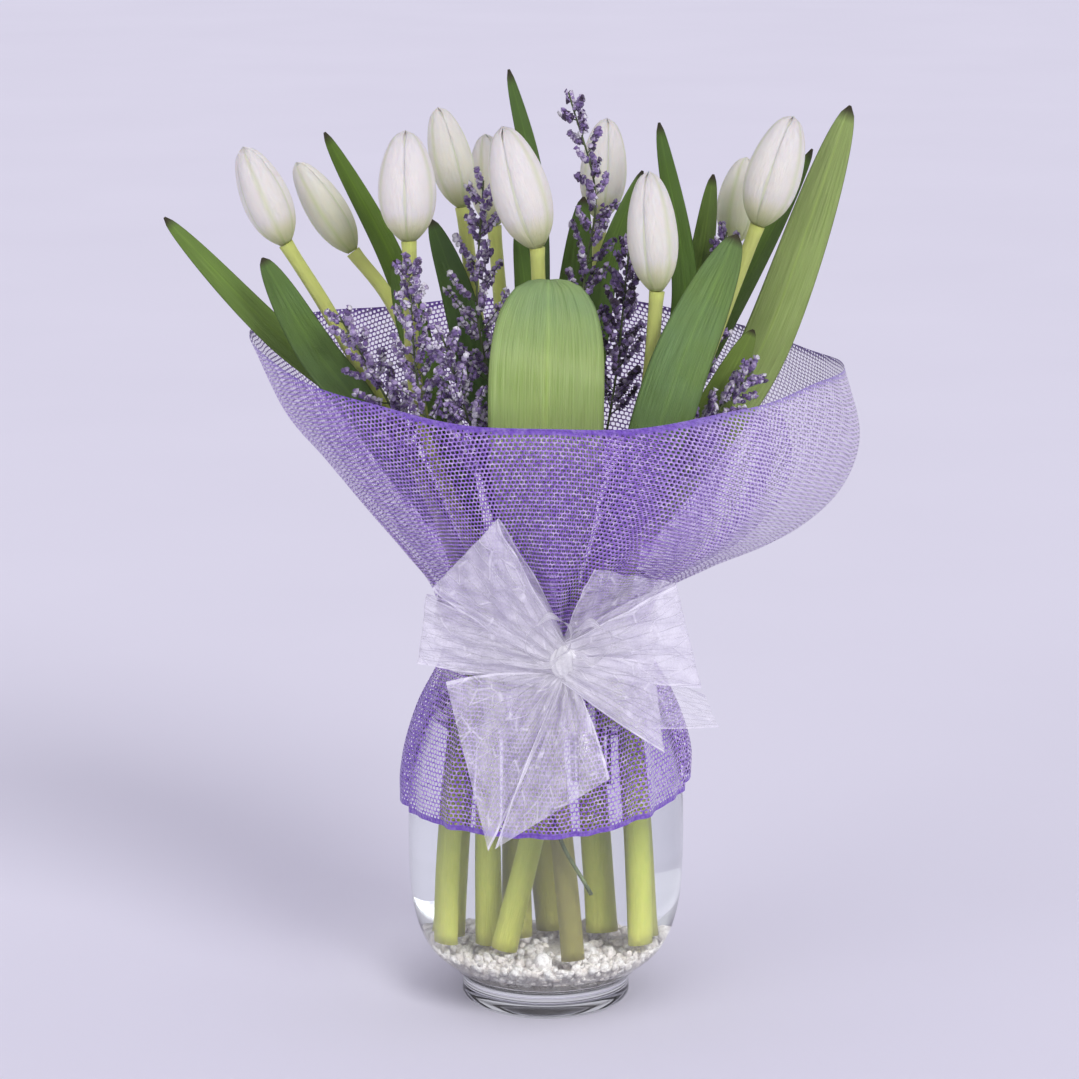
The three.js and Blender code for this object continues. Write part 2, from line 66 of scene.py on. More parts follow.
def soft_light(name, from_way, spread, strength, mirrored):
    """A far, even light from a direction, softened by its spread in degrees. It shows as a glint
    in smooth surfaces only if it is mirrored."""
    lamp = bpy.data.lights.new(name, "SUN")
    lamp.angle = np.radians(spread)
    lamp.energy = strength
    made = bpy.data.objects.new(name, lamp)
    made.rotation_euler = (-Vector(from_way)).to_track_quat("-Z", "Y").to_euler()
    made.visible_glossy = mirrored
    scene.collection.objects.link(made)


soft_light("key", (0.75, -1.0, 0.85), 24, 1.35, False)
soft_light("fill", (-1.0, -0.9, 0.6), 40, 0.5, True)


def line_through(points, count=None, per_stretch=8):
    """A smooth line through points: each stretch is a cubic, and its slope at a point is weighed
    from its two neighbours by the square root of their distance. It comes back at equal steps of
    length if a count is given, and otherwise at equal steps of each stretch."""
    given = np.asarray(points, float)
    given = np.vstack([2 * given[0] - given[1], given, 2 * given[-1] - given[-2]])
    steps = np.diff(given, axis=0)
    gaps = np.maximum(np.linalg.norm(steps, axis=1, keepdims=True), 1e-9) ** 0.5
    rates = steps / gaps
    slopes = rates[:-1] + rates[1:] - (given[2:] - given[:-2]) / (gaps[:-1] + gaps[1:])
    t = np.linspace(0, 1, 33 if count else per_stretch + 1)[None, :, None]
    start, end = given[1:-2, None], given[2:-1, None]
    leave, arrive = (slopes[:-1] * gaps[1:-1])[:, None], (slopes[1:] * gaps[1:-1])[:, None]
    cubic = (2 * t**3 - 3 * t**2 + 1) * start + (t**3 - 2 * t**2 + t) * leave
    cubic = cubic + (3 * t**2 - 2 * t**3) * end + (t**3 - t**2) * arrive
    line = np.vstack([cubic[:, :-1].reshape(-1, given.shape[1]), given[-2]])
    if not count:
        return line
    length = np.append(0, np.cumsum(np.linalg.norm(np.diff(line, axis=0), axis=1)))
    at = np.linspace(0, length[-1], count)
    return np.stack([np.interp(at, length, column) for column in line.T], -1)


def unit(vectors):
    """Vectors scaled to a length of 1."""
    return vectors / np.linalg.norm(vectors, axis=-1, keepdims=True)


def once_round(count):
    """Equal steps of angle that go once round."""
    return np.linspace(0, 2 * np.pi, count, endpoint=False)


def flat_map(columns, rows, across=(0, 1), up=(0, 1)):
    """Each point's place on an even map, between these limits across it and up it."""
    return np.stack(np.meshgrid(np.linspace(*across, columns), np.linspace(*up, rows)), -1)


def ball(rows, columns):
    """The rise and the turn of each point of a ball of radius 1, and the point itself."""
    rise, turn = np.meshgrid(np.linspace(-np.pi / 2, np.pi / 2, rows), once_round(columns), indexing="ij")
    out = np.cos(rise)
    return rise, turn, np.stack([out * np.cos(turn), out * np.sin(turn), np.sin(rise)], -1)


def grid_cells(rows, columns, closed):
    """The four corners of each cell of a grid, the last column joined to the first if closed."""
    row, column = np.meshgrid(
        np.arange(rows - 1), np.arange(columns if closed else columns - 1), indexing="ij"
    )
    beside = (column + 1) % columns
    corners = [row * columns + column, row * columns + beside]
    corners += [(row + 1) * columns + beside, (row + 1) * columns + column]
    return np.stack(corners, -1).reshape(-1, 4)


def surface(name, grids, material, slot=None, closed=False, uv=None, **marks):
    """One mesh of a grid of points, or of a stack of like grids: each cell is a face, and points
    that meet, as at a pole, become one. uv gives each point's place on the piece's own map, and
    marks give numbers that the material reads, one for each grid or each point."""
    grids = np.asarray(grids, float)
    grids = grids if grids.ndim == 4 else grids[None]
    copies, rows, columns = grids.shape[:3]
    starts = np.arange(copies)[:, None, None] * rows * columns
    faces = (grid_cells(rows, columns, closed)[None] + starts).reshape(-1, 4)
    mesh = bpy.data.meshes.new(name)
    mesh.from_pydata(grids.reshape(-1, 3).tolist(), [], faces.tolist())
    if uv is not None:
        uv = np.broadcast_to(uv, (copies, *np.shape(uv)[-3:]))
        cells = grid_cells(rows, uv.shape[2], False)
        corners = uv.reshape(copies, -1, 2)[:, cells]
        mesh.uv_layers.new(name="UVMap").data.foreach_set("uv", corners.ravel())
    for mark, numbers in marks.items():
        numbers = np.asarray(numbers, float)
        numbers = numbers.reshape(numbers.shape + (1,) * (3 - numbers.ndim))
        numbers = np.broadcast_to(numbers, (copies, rows, columns)).ravel()
        mesh.attributes.new(mark, "FLOAT", "POINT").data.foreach_set("value", numbers)
    whole = bmesh.new()
    whole.from_mesh(mesh)
    bmesh.ops.remove_doubles(whole, verts=whole.verts, dist=1e-6)
    whole.to_mesh(mesh)
    whole.free()
    mesh.shade_smooth()
    mesh.materials.append(material)
    piece = bpy.data.objects.new(name, mesh)
    scene.collection.objects.link(piece)
    if slot:
        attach(piece, "root")
    return piece


def thicken(piece, thickness, offset=-1):
    """Gives an open surface its thickness, with a closed edge."""
    wall = piece.modifiers.new("thickness", "SOLIDIFY")
    wall.thickness = thickness
    wall.offset = offset
    return piece


def node(material, kind, inputs=None, **settings):
    """Adds a node, sets its properties, and fills its inputs with numbers or other outputs."""
    tree = material.node_tree
    made = tree.nodes.new(kind)
    for setting, value in settings.items():
        setattr(made, setting, value)
    for socket, value in (inputs or {}).items():
        if isinstance(value, bpy.types.NodeSocket):
            tree.links.new(value, made.inputs[socket])
        else:
            made.inputs[socket].default_value = value
    return made


def finish_of(name, sockets):
    """A new material whose shader has these values or outputs on its own sockets."""
    material = bpy.data.materials.new(name)
    material.use_nodes = True
    set_sockets(material, sockets)
    return material


def set_sockets(material, sockets):
    """Puts values or other nodes' outputs on the sockets of a material's shader."""
    shader = material.node_tree.nodes["Principled BSDF"]
    for socket, value in sockets.items():
        if isinstance(value, bpy.types.NodeSocket):
            material.node_tree.links.new(value, shader.inputs[socket])
        else:
            shader.inputs[socket].default_value = value


def arithmetic(material, operation, first, second=0.0, third=0.0):
    """One sum on numbers or outputs."""
    inputs = {0: first, 1: second, 2: third}
    return node(material, "ShaderNodeMath", inputs, operation=operation).outputs[0]


def ramp(material, factor, *stops):
    """Turns a number from 0 to 1 into a colour, by stops of (place, red, green, blue)."""
    made = node(material, "ShaderNodeValToRGB", {"Fac": factor})
    elements = made.color_ramp.elements
    while len(elements) < len(stops):
        elements.new(0.5)
    for element, (place, *colour) in zip(elements, stops):
        element.position = place
        element.color = (*colour, 1)
    return made.outputs["Color"]


def mixed(material, factor, first, second):
    """A colour between two colours or outputs."""
    made = node(material, "ShaderNodeMix", {"Factor": factor}, data_type="RGBA")
    for socket, value in ((made.inputs[6], first), (made.inputs[7], second)):
        if isinstance(value, bpy.types.NodeSocket):
            material.node_tree.links.new(value, socket)
        else:
            socket.default_value = (*value, 1)
    return made.outputs[2]


def cloudy(material, scale, detail=3.0, where=None, stretch=(1, 1, 1)):
    """Soft random variation over an object's own space, or over another place given."""
    where = where or node(material, "ShaderNodeTexCoord").outputs["Object"]
    placed = node(material, "ShaderNodeMapping", {"Vector": where, "Scale": stretch})
    inputs = {"Vector": placed.outputs[0], "Scale": scale, "Detail": detail}
    return node(material, "ShaderNodeTexNoise", inputs).outputs["Fac"]


def mark_on(material, name):
    """The number that a piece gives the material under this name."""
    return node(material, "ShaderNodeAttribute", attribute_name=name).outputs["Fac"]


def map_place(material):
    """The place on the piece's own map, then how far across and how far up it is."""
    place = node(material, "ShaderNodeUVMap").outputs[0]
    parts = node(material, "ShaderNodeSeparateXYZ", {0: place})
    return place, parts.outputs["X"], parts.outputs["Y"]


def off_middle(material, share):
    """How far a number from 0 to 1 is from a half."""
    return arithmetic(material, "ABSOLUTE", arithmetic(material, "SUBTRACT", share, 0.5))


def shaded(material, colour, shade):
    """A colour times another."""
    return node(material, "ShaderNodeVectorMath", {0: colour, 1: shade}, operation="MULTIPLY").outputs[0]


def bumped(material, height, distance, strength=1.0):
    """The surface's direction, tilted by a height in metres times a distance."""
    inputs = {"Height": height, "Distance": distance, "Strength": strength}
    return node(material, "ShaderNodeBump", inputs).outputs["Normal"]


# The floor: plain pale paper under the vase, wide enough to fill the view.
floor_finish = finish_of("paper", {"Roughness": 0.85, "Specular IOR Level": 0.2})
floor_clouds = cloudy(floor_finish, 3)
set_sockets(floor_finish, {
    "Base Color": ramp(floor_finish, floor_clouds, (0.3, 0.80, 0.78, 0.88), (0.7, 0.82, 0.80, 0.90)),
})
FLOOR_REACH = 14
reach = np.linspace(-FLOOR_REACH, FLOOR_REACH, 3)
floor = surface("floor", np.stack([*np.meshgrid(reach, reach), np.zeros((3, 3))], -1), floor_finish)

# The vase: clear pressed glass, blown round with a drawn-in neck, a flared mouth with a
# fire-polished rim, and a thick foot that is pushed up a little underneath.
vase_low, vase_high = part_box("vase")
FOOT_RADIUS = 0.039
BELLY_RADIUS = (vase_high.x - vase_low.x) / 2
BELLY_Z = 0.084
NECK_RADIUS = 0.045
MOUTH_Z = vase_high.z
NECK_Z = MOUTH_Z - 0.028
MOUTH_RADIUS = 0.05
WALL = 0.0025
BASE = 0.013
INNER_BEND_Z = BASE + 0.006
GLASS_SIDES = 128
outer_wall = line_through([
    (FOOT_RADIUS + 0.0005, 0.0018),
    (FOOT_RADIUS + 0.001, 0.011),
    (BELLY_RADIUS * 0.86, BELLY_Z * 0.31),
    (BELLY_RADIUS * 0.965, BELLY_Z * 0.52),
    (BELLY_RADIUS, BELLY_Z),
    (BELLY_RADIUS * 0.86 + NECK_RADIUS * 0.14, BELLY_Z * 0.6 + NECK_Z * 0.4),
    (BELLY_RADIUS * 0.36 + NECK_RADIUS * 0.64, BELLY_Z * 0.28 + NECK_Z * 0.72),
    (NECK_RADIUS, NECK_Z),
    (MOUTH_RADIUS, MOUTH_Z - WALL / 2),
], 90)


def glass_radius(z):
    """The vase's outer radius at a height."""
    return np.interp(z, outer_wall[:, 1], outer_wall[:, 0])


def turned(profile, sides):
    """A profile of (radius, height) carried round the upright axis."""
    angle = once_round(sides)
    radius, height = np.asarray(profile, float).T[:, :, None]
    return np.stack([radius * np.cos(angle), radius * np.sin(angle), height + 0 * angle], -1)


inner_heights = np.linspace(MOUTH_Z - WALL / 2, INNER_BEND_Z, 70)
inner_wall = np.stack([glass_radius(inner_heights) - WALL, inner_heights], -1)
round_rim = np.linspace(0.15, np.pi - 0.15, 7)
rim = np.stack([
    MOUTH_RADIUS - WALL / 2 + WALL / 2 * np.cos(round_rim),
    MOUTH_Z - WALL / 2 + WALL / 2 * np.sin(round_rim),
], -1)
corner_radius = inner_wall[-1, 0]
inner_corner = line_through([
    inner_wall[-1], (corner_radius - 0.0022, BASE + 0.0018), (corner_radius - 0.0075, BASE),
    (0, BASE - 0.0004),
], 20)
under_foot = line_through([(0, 0.0028), (0.02, 0.0024), (0.031, 0.0009), (0.0362, 0), (0.0385, 0.0003)], 16)
vase_profile = np.vstack([under_foot, outer_wall, rim, inner_wall, inner_corner[1:]])
glass = finish_of("clear_glass", {
    "Base Color": (0.975, 0.99, 0.985, 1),
    "Roughness": 0.0,
    "IOR": 1.5,
    "Transmission Weight": 1.0,
})
set_sockets(glass, {"Normal": bumped(glass, cloudy(glass, 18, 1), 0.002, 0.25)})


def let_lamps_through(material):
    """Lets the lamps' straight rays pass, so that what stands behind the glass is lit."""
    tree = material.node_tree
    clear = node(material, "ShaderNodeBsdfTransparent").outputs[0]
    lamp_ray = node(material, "ShaderNodeLightPath").outputs["Is Shadow Ray"]
    shader = tree.nodes["Principled BSDF"].outputs[0]
    either = node(material, "ShaderNodeMixShader", {0: lamp_ray, 1: shader, 2: clear})
    tree.links.new(either.outputs[0], tree.nodes["Material Output"].inputs["Surface"])


let_lamps_through(glass)
vase = surface("glass_vase", turned(vase_profile, GLASS_SIDES), glass, "glass", closed=True)
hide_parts("vase")

# The gravel: small crushed white and pale pink stones, loose on the vase's floor, with a few
# rounder pebbles on top.
gravel_low, gravel_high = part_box("gravel_bed")
random = np.random.default_rng(11)
gravel_finish = finish_of("crushed_stone", {"Roughness": 0.6})
stone_colour = ramp(
    gravel_finish, mark_on(gravel_finish, "tint"),
    (0.0, 0.60, 0.55, 0.53), (0.12, 0.82, 0.76, 0.73), (0.5, 0.90, 0.85, 0.84), (0.9, 0.93, 0.90, 0.90),
)
stone_fleck = ramp(gravel_finish, cloudy(gravel_finish, 900, 4), (0.35, 0.72, 0.70, 0.70), (0.6, 1, 1, 1))
set_sockets(gravel_finish, {
    "Base Color": shaded(gravel_finish, stone_colour, stone_fleck),
    "Normal": bumped(gravel_finish, cloudy(gravel_finish, 1200), 0.0004),
})
STONE_DEPTH = 0.0028  # of the loose stones that cover the heap
BED_TOP = gravel_high.z - STONE_DEPTH
bed_heights = np.linspace(gravel_low.z, BED_TOP, 8)
bed_side = np.stack([glass_radius(bed_heights) - WALL - STONE_DEPTH, bed_heights], -1)
bed_side[0, 0] -= 0.004
bed = turned(np.vstack([(0, gravel_low.z), bed_side, (0, BED_TOP)]), 64)
gravel_bed = surface("gravel_heap", bed, gravel_finish, "gravel", closed=True, tint=0.3)
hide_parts("gravel_bed")


def turns_at_random(count):
    """Evenly random rotations, from random unit quaternions."""
    drawn = random.normal(size=(4, count))
    w, x, y, z = drawn / np.linalg.norm(drawn, axis=0)
    return np.stack([
        np.stack([1 - 2 * (y * y + z * z), 2 * (x * y - w * z), 2 * (x * z + w * y)], -1),
        np.stack([2 * (x * y + w * z), 1 - 2 * (x * x + z * z), 2 * (y * z - w * x)], -1),
        np.stack([2 * (x * z - w * y), 2 * (y * z + w * x), 1 - 2 * (x * x + y * y)], -1),
    ], -2)


def stones(middles, sizes, roughness):
    """Lumpy balls: a coarse ball whose points move in or out at random, stretched and turned."""
    rows, columns = 6, 7
    coarse = ball(rows, columns)[2]
    lumps = 1 + roughness * random.uniform(-1, 1, (len(middles), rows, columns, 1))
    lumps[:, [0, -1]] = 1
    stretch = sizes[:, None, None, None] * random.uniform(0.7, 1.25, (len(middles), 1, 1, 3))
    lumpy = np.einsum("nij,nrcj->nrci", turns_at_random(len(middles)), coarse * lumps * stretch)
    return lumpy + middles[:, None, None]


SIDE_STONES = 620
side_z = random.uniform(gravel_low.z + 0.002, gravel_high.z - 0.002, SIDE_STONES)
side_turn = random.uniform(0, 2 * np.pi, SIDE_STONES)
side_r = glass_radius(side_z) - WALL - 0.0024 - np.interp(side_z, [0.013, 0.02], [0.004, 0])
side_middles = np.stack([side_r * np.cos(side_turn), side_r * np.sin(side_turn), side_z], -1)
TOP_STONES = 560
top_turn = random.uniform(0, 2 * np.pi, TOP_STONES)
top_r = np.sqrt(random.uniform(0, 1, TOP_STONES)) * (glass_radius(gravel_high.z) - WALL - 0.003)
top_z = gravel_high.z - 0.0024 + random.uniform(-0.0008, 0.0006, TOP_STONES)
top_middles = np.stack([top_r * np.cos(top_turn), top_r * np.sin(top_turn), top_z], -1)
middles = np.vstack([side_middles, top_middles])
surface(
    "gravel_stones", stones(middles, random.uniform(0.0012, 0.0023, len(middles)), 0.22),
    gravel_finish, "gravel", closed=True, tint=random.uniform(0, 1, len(middles)),
)
pebble_middles = np.array([
    (-0.001, -0.034, 0), (-0.034, 0.012, 0), (0.036, 0.020, 0), (0.012, 0.036, 0), (-0.014, 0.038, 0),
]) + (0, 0, gravel_high.z + 0.0002)
surface(
    "gravel_pebbles", stones(pebble_middles, np.array([0.0042, 0.0032, 0.0036, 0.003, 0.0034]), 0.06),
    gravel_finish, "gravel", closed=True, tint=[0.95, 0.4, 0.8, 0.6, 0.9],
)

# The water: clear, filling the vase from its floor to the level, round the stones and the stems,
# and creeping a little up the glass at its edge.
INTO_GLASS = 0.00006
WATER_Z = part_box("water")[1].z
wet_heights = np.linspace(INNER_BEND_Z, WATER_Z, 60)
wet_side = np.stack([glass_radius(wet_heights) - WALL + INTO_GLASS, wet_heights], -1)
wet_corner = inner_corner[::-1] + (INTO_GLASS, -INTO_GLASS)
wet_corner[0] = (0, BASE - 0.0005)
edge_r = wet_side[-1, 0]
wet_top = [(edge_r, WATER_Z + 0.0012), (edge_r - 0.0008, WATER_Z + 0.0003), (edge_r - 0.003, WATER_Z)]
wet_profile = np.vstack([wet_corner[:-1], wet_side, wet_top, (0, WATER_Z)])
clear_water = finish_of("clear_water", {
    "Base Color": (0.985, 0.995, 0.985, 1),
    "Roughness": 0.0,
    "IOR": 1.333,
    "Transmission Weight": 1.0,
})
set_sockets(clear_water, {"Normal": bumped(clear_water, cloudy(clear_water, 30, 0), 0.001, 0.1)})
let_lamps_through(clear_water)
water = surface("vase_water", turned(wet_profile, GLASS_SIDES), clear_water, "water", closed=True)
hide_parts("water")

# The tulips' stems: round and smooth, cut at the foot, pale at the bottom and yellower towards
# the flower, where they widen under it. Each row gives, in millimetres, where the stem stands,
# where it leans at the mouth, a point on its way up, and the flower's bottom, tip and width, then
# the way that a seam of the flower faces in degrees, and how green the flower still is.
TULIPS = [
    ((-36, -3), (-38, -4), (-94, -8, 120), (-117, -10, 159), (-135, -12, 202), 21, 62, 0.1),
    ((-30, 16), (-30, 13), (-69, 10, 126), (-88, 12, 152), (-113, 14, 192), 18, 50, 0.6),
    ((-19, 3), (-28, -19), (-57, -34, 90), (-61, -29, 163), (-62, -30, 212), 25, -4, 0.0),
    ((-9, 15), (-13, 12), (-29, 14, 100), (-38, 15, 172), (-49, 15, 217), 19, 20, 0.35),
    ((2, 27), (-10, 31), (-19, 36, 100), (-24, 38, 160), (-28, 40, 202), 19, 40, 0.35),
    ((11, -34), (-2, -29), (-2, -32, 100), (-4, -34, 161), (-19, -36, 214), 25, -14, 0.05),
    ((17, 22), (12, 30), (22, 38, 100), (25, 40, 163), (28, 42, 209), 21, 10, 0.1),
    ((-15, -9), (18, -26), (44, -37, 90), (49, -38, 142), (45, -38, 195), 22, -24, 0.12),
    ((34, -4), (36, -6), (75, -7, 113), (95, -8, 167), (110, -10, 216), 24, -16, 0.12),
    ((31, 12), (31, 18), (66, 27, 98), (86, 32, 153), (92, 34, 192), 20, 35, 0.7),
]
FOOT_Z = gravel_high.z + 0.0014
DULL_STEMS = {4: 0.5, 5: 0.6, 6: 0.8, 10: 0.3}  # how brown these are under water


def in_bunch(*places):
    """Points given in millimetres from the axis and above the vase's mouth, in metres."""
    return np.array(places) * 0.001 + (0, 0, MOUTH_Z)


def frame_along(path):
    """The direction of a path at each point, and two directions square to it."""
    forward = unit(np.gradient(path, axis=0))
    side = unit(np.cross((0, 1, 0), forward))
    return forward, side, np.cross(forward, side)


def tube(path, radii, sides=14):
    """Rings of these radii round a path, each ring square to it, closed at both ends."""
    forward, side, other = frame_along(path)
    angle = once_round(sides)[None, :, None]
    round_it = side[:, None] * np.cos(angle) + other[:, None] * np.sin(angle)
    rings = path[:, None] + np.asarray(radii)[:, None, None] * round_it
    ends = np.broadcast_to(path[[0, -1], None], (2, sides, 3))
    return np.concatenate([ends[:1], rings, ends[1:]])


stem_finish = finish_of("tulip_stem", {
    "Roughness": 0.42,
    "Subsurface Weight": 0.15,
    "Subsurface Radius": (0.002, 0.003, 0.001),
    "Coat Weight": 0.1,
})
stem_place, _, stem_up = map_place(stem_finish)
stem_streaks = cloudy(stem_finish, 3, 4, stem_place, (14, 22, 1))
stem_colour = ramp(
    stem_finish, arithmetic(stem_finish, "MULTIPLY_ADD", stem_streaks, 0.25, stem_up),
    (0.05, 0.76, 0.76, 0.17), (0.4, 0.46, 0.57, 0.09), (0.7, 0.49, 0.60, 0.10), (1.1, 0.66, 0.72, 0.20),
)
low_down = ramp(stem_finish, stem_up, (0.15, 1, 1, 1), (0.45, 0, 0, 0))
dull_share = arithmetic(stem_finish, "MULTIPLY", mark_on(stem_finish, "dull"), low_down)
set_sockets(stem_finish, {
    "Base Color": mixed(stem_finish, dull_share, stem_colour, (0.19, 0.15, 0.055)),
    "Normal": bumped(stem_finish, cloudy(stem_finish, 6, 2, stem_place, (30, 5, 1)), 0.0004),
})
STEM_ROWS = 70
STEM_SIDES = 18
STEM_RADIUS = 0.0048
THINNER_AT_HEAD = 0.0017
FLARE_AT_HEAD = 0.0004
for number, (foot, mouth, way, head, *_) in enumerate(TULIPS, 1):
    stands = (foot[0] * 0.001, foot[1] * 0.001, FOOT_Z)
    path = line_through([stands, *in_bunch((*mouth, 0), way, head)], STEM_ROWS)
    along = np.linspace(0, 1, STEM_ROWS)
    flare = np.clip((along - 0.97) / 0.03, 0, 1) ** 2
    rings = tube(path, STEM_RADIUS - THINNER_AT_HEAD * along + FLARE_AT_HEAD * flare, STEM_SIDES)
    uv = np.stack(np.meshgrid(np.linspace(0, 1, STEM_SIDES + 1), [0, *along, 1]), -1)
    dull = [DULL_STEMS.get(number, 0)]
    stem = surface(f"stem_{number:02d}", rings, stem_finish, "stem", closed=True, uv=uv, dull=dull)
    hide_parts(f"tulip_stem_{number:02d}")

# The tulips' flowers: six waxy petals each, still closed. Three outer ones meet in seams that run
# up the flower, and three inner ones show between them. They are green at the base and cream
# above, with fine veins that run to the tip.
petal_finish = finish_of("petal", {
    "Roughness": 0.48,
    "Subsurface Weight": 0.3,
    "Subsurface Radius": (0.004, 0.003, 0.002),
    "Sheen Weight": 0.15,
})
petal_place, petal_across, petal_up = map_place(petal_finish)
petal_veins = cloudy(petal_finish, 4, 3, petal_place, (16, 1.2, 1))
ripe = ramp(
    petal_finish, arithmetic(petal_finish, "MULTIPLY_ADD", petal_veins, 0.12, petal_up),
    (0.05, 0.56, 0.62, 0.22), (0.2, 0.80, 0.79, 0.50), (0.34, 0.93, 0.88, 0.82), (0.95, 0.95, 0.89, 0.87),
)
unripe = ramp(
    petal_finish, arithmetic(petal_finish, "MULTIPLY_ADD", petal_veins, 0.3, petal_up),
    (0.1, 0.56, 0.66, 0.20), (0.55, 0.86, 0.90, 0.54), (1.1, 0.97, 0.95, 0.79),
)
petal_off_middle = off_middle(petal_finish, petal_across)
rib_line = ramp(petal_finish, petal_off_middle, (0.0, 0.86, 0.92, 0.74), (0.09, 1, 1, 1))
petal_colour = mixed(petal_finish, mark_on(petal_finish, "green"), ripe, unripe)
set_sockets(petal_finish, {
    "Base Color": shaded(petal_finish, petal_colour, rib_line),
    "Normal": bumped(petal_finish, cloudy(petal_finish, 5, 2, petal_place, (26, 2, 1)), 0.0005),
})
PETAL_OUTLINE = line_through([
    (0.27, 0), (0.36, 0.02), (0.57, 0.08), (0.79, 0.17), (0.95, 0.30), (1, 0.44), (0.93, 0.62),
    (0.73, 0.80), (0.46, 0.93), (0.2, 0.985), (0.02, 1),
], 60)
PETAL_COLUMNS, PETAL_ROWS = 17, 30
PETAL_THICKNESS = 0.0006


def petals(bottom, tip, width, seam, layer):
    """Three petals round a flower's axis: each is a strip of the bud's outline, wide in the middle
    and rounded off at the tip, fuller along its middle than at its edges. The outer layer is 0,
    and the inner one, 1, lies in the gaps and ends lower."""
    u, v = np.meshgrid(np.linspace(-1, 1, PETAL_COLUMNS), np.linspace(0, 1, PETAL_ROWS))
    length = np.linalg.norm(tip - bottom)
    axis = unit(tip - bottom)
    front = unit(np.array((0, -1, 0)) + axis * axis[1])
    right = np.cross(axis, front)
    half_turn = np.radians(61) * (1 - 0.35 * v**20)
    round_to = np.interp(v, PETAL_OUTLINE[:, 1], PETAL_OUTLINE[:, 0])
    fuller = 1 + 0.05 * np.cos(np.pi * u / 2) - 0.07 * np.abs(u) ** 5
    radius = width / 2 * round_to * fuller * (1 - 0.09 * layer)
    up = v * length * (1 - 0.02 * layer) + 0.0004 + 0.0006 * np.sin(9 * v + seam) * np.abs(u) ** 3
    made = []
    for centre in np.radians(seam + 60 + 60 * layer + np.array((0, 120, 240))):
        angle = centre + half_turn * u
        out = front * np.cos(angle)[..., None] + right * np.sin(angle)[..., None]
        made.append(bottom + out * radius[..., None] + axis * up[..., None])
    return made


for number, (*_, head, tip, width, seam, green) in enumerate(TULIPS, 1):
    bottom, top = in_bunch(head, tip)
    strips = petals(bottom, top, width * 0.001, seam, 0) + petals(bottom, top, width * 0.001, seam, 1)
    uv = flat_map(PETAL_COLUMNS, PETAL_ROWS)
    flower = surface(f"petals_{number:02d}", strips, petal_finish, "petal", uv=uv, green=[green] * 6)
    thicken(flower, PETAL_THICKNESS)
    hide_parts(f"tulip_flower_{number:02d}")

# The leaves: long, smooth blades that clasp the stems, channelled along the middle, with fine
# veins from base to tip and wavy edges. Each row gives the points of the midrib and the full width
# in millimetres, the way that the inner face looks, how deep the channel is, and how pale and how
# blue the leaf is.
LEAVES = [
    (((-52, 8, 26), (-88, 6, 85), (-123, 0, 117), (-172, -4, 170)), 14, (0.2, -1, 0.4), 0.3, 0.45, 0.2),
    (((-62, -15, 46), (-84, -16, 85), (-104, -17, 112), (-127, -19, 154)),
     18, (0.1, -1, 0.1), 0.25, 0.3, 0.5),
    (((-40, 26, 26), (-56, 26, 100), (-70, 25, 145), (-101, 24, 205)), 12, (0.2, -1, 0.1), 0.4, 0.3, 0.0),
    (((2, -45, 15), (0, -55, 58), (0, -59, 105), (1, -58, 143)), 51, (0, -1, 0), -0.12, 0.9, 0.25),
    (((26, -43, 20), (45, -52, 68), (60, -54, 115), (84, -42, 168)), 27, (-0.1, -1, 0.1), 0.2, 0.4, 0.8),
    (((44, 5, 20), (72, 5, 62), (97, 6, 105), (137, 8, 219)), 23, (-0.3, -1, 0.1), 0.35, 0.95, 0.0),
    (((30, 2, 20), (49, 2, 72), (63, 3, 130), (51, 11, 211)), 12, (0, -1, 0), 0.3, 0.2, 0.3),
    (((14, 9, 26), (20, 11, 90), (29, 15, 148), (44, 20, 188)), 12, (0, -1, 0), 0.3, 0.3, 0.4),
    (((-6, 12, 26), (-4, 15, 100), (-5, 18, 180), (-17, 20, 234)), 11, (0.2, -1, 0), 0.35, 0.2, 0.4),
    (((6, -4, 26), (8, -1, 90), (13, 3, 137), (17, 6, 178)), 17, (0, -1, 0), 0.25, 0.2, 0.3),
    (((-20, 0, 26), (-30, 1, 90), (-41, 4, 136), (-52, 4, 168)), 17, (0, -1, 0), 0.25, 0.1, 0.6),
    (((27, 14, 30), (50, 14, 82), (69, 14, 140), (76, 15, 187)), 13, (0, -1, 0), 0.3, 0.5, 0.2),
    (((-31, -8, 26), (-48, -13, 85), (-60, -17, 120), (-68, -19, 153)), 15, (0.1, -1, 0), 0.25, 0.3, 0.3),
    (((-9, -13, 26), (-9, -14, 90), (-9, -14, 135), (-13, -15, 167)), 12, (0, -1, 0), 0.3, 0.2, 0.2),
    (((47, -14, 34), (62, -20, 62), (80, -24, 96), (93, -22, 122)), 15, (0, -1, 0.1), 0.25, 0.7, 0.0),
    (((34, 30, 30), (70, 41, 90), (100, 27, 152), (121, 19, 198)), 11, (0, -1, 0), 0.3, 0.3, 0.2),
]
FOLDED_LEAF = 4
FOLDED_TIP = ((1, -58, 136), (1, -54, 148), (1, -47, 148), (1, -42, 138), (1, -41, 122))
FOLD_AT, FOLD_SHARE = line_through([
    (0, 1), (0.4, 1), (0.58, 0.99), (0.65, 0.95), (0.71, 0.86), (0.755, 0.72), (0.785, 0.54),
    (0.805, 0.3), (0.83, 0.14), (0.9, 0.12), (1, 0.04),
], 80).T
LEAF_COLUMNS, LEAF_ROWS = 19, 56
LEAF_THICKNESS = 0.0007
leaf_finish = finish_of("leaf", {
    "Roughness": 0.45,
    "Subsurface Weight": 0.12,
    "Subsurface Radius": (0.001, 0.002, 0.0005),
})
leaf_place, leaf_side, leaf_up = map_place(leaf_finish)
leaf_streaks = cloudy(leaf_finish, 5, 4, leaf_place, (22, 0.9, 1))
leaf_clouds = cloudy(leaf_finish, 45, 3)
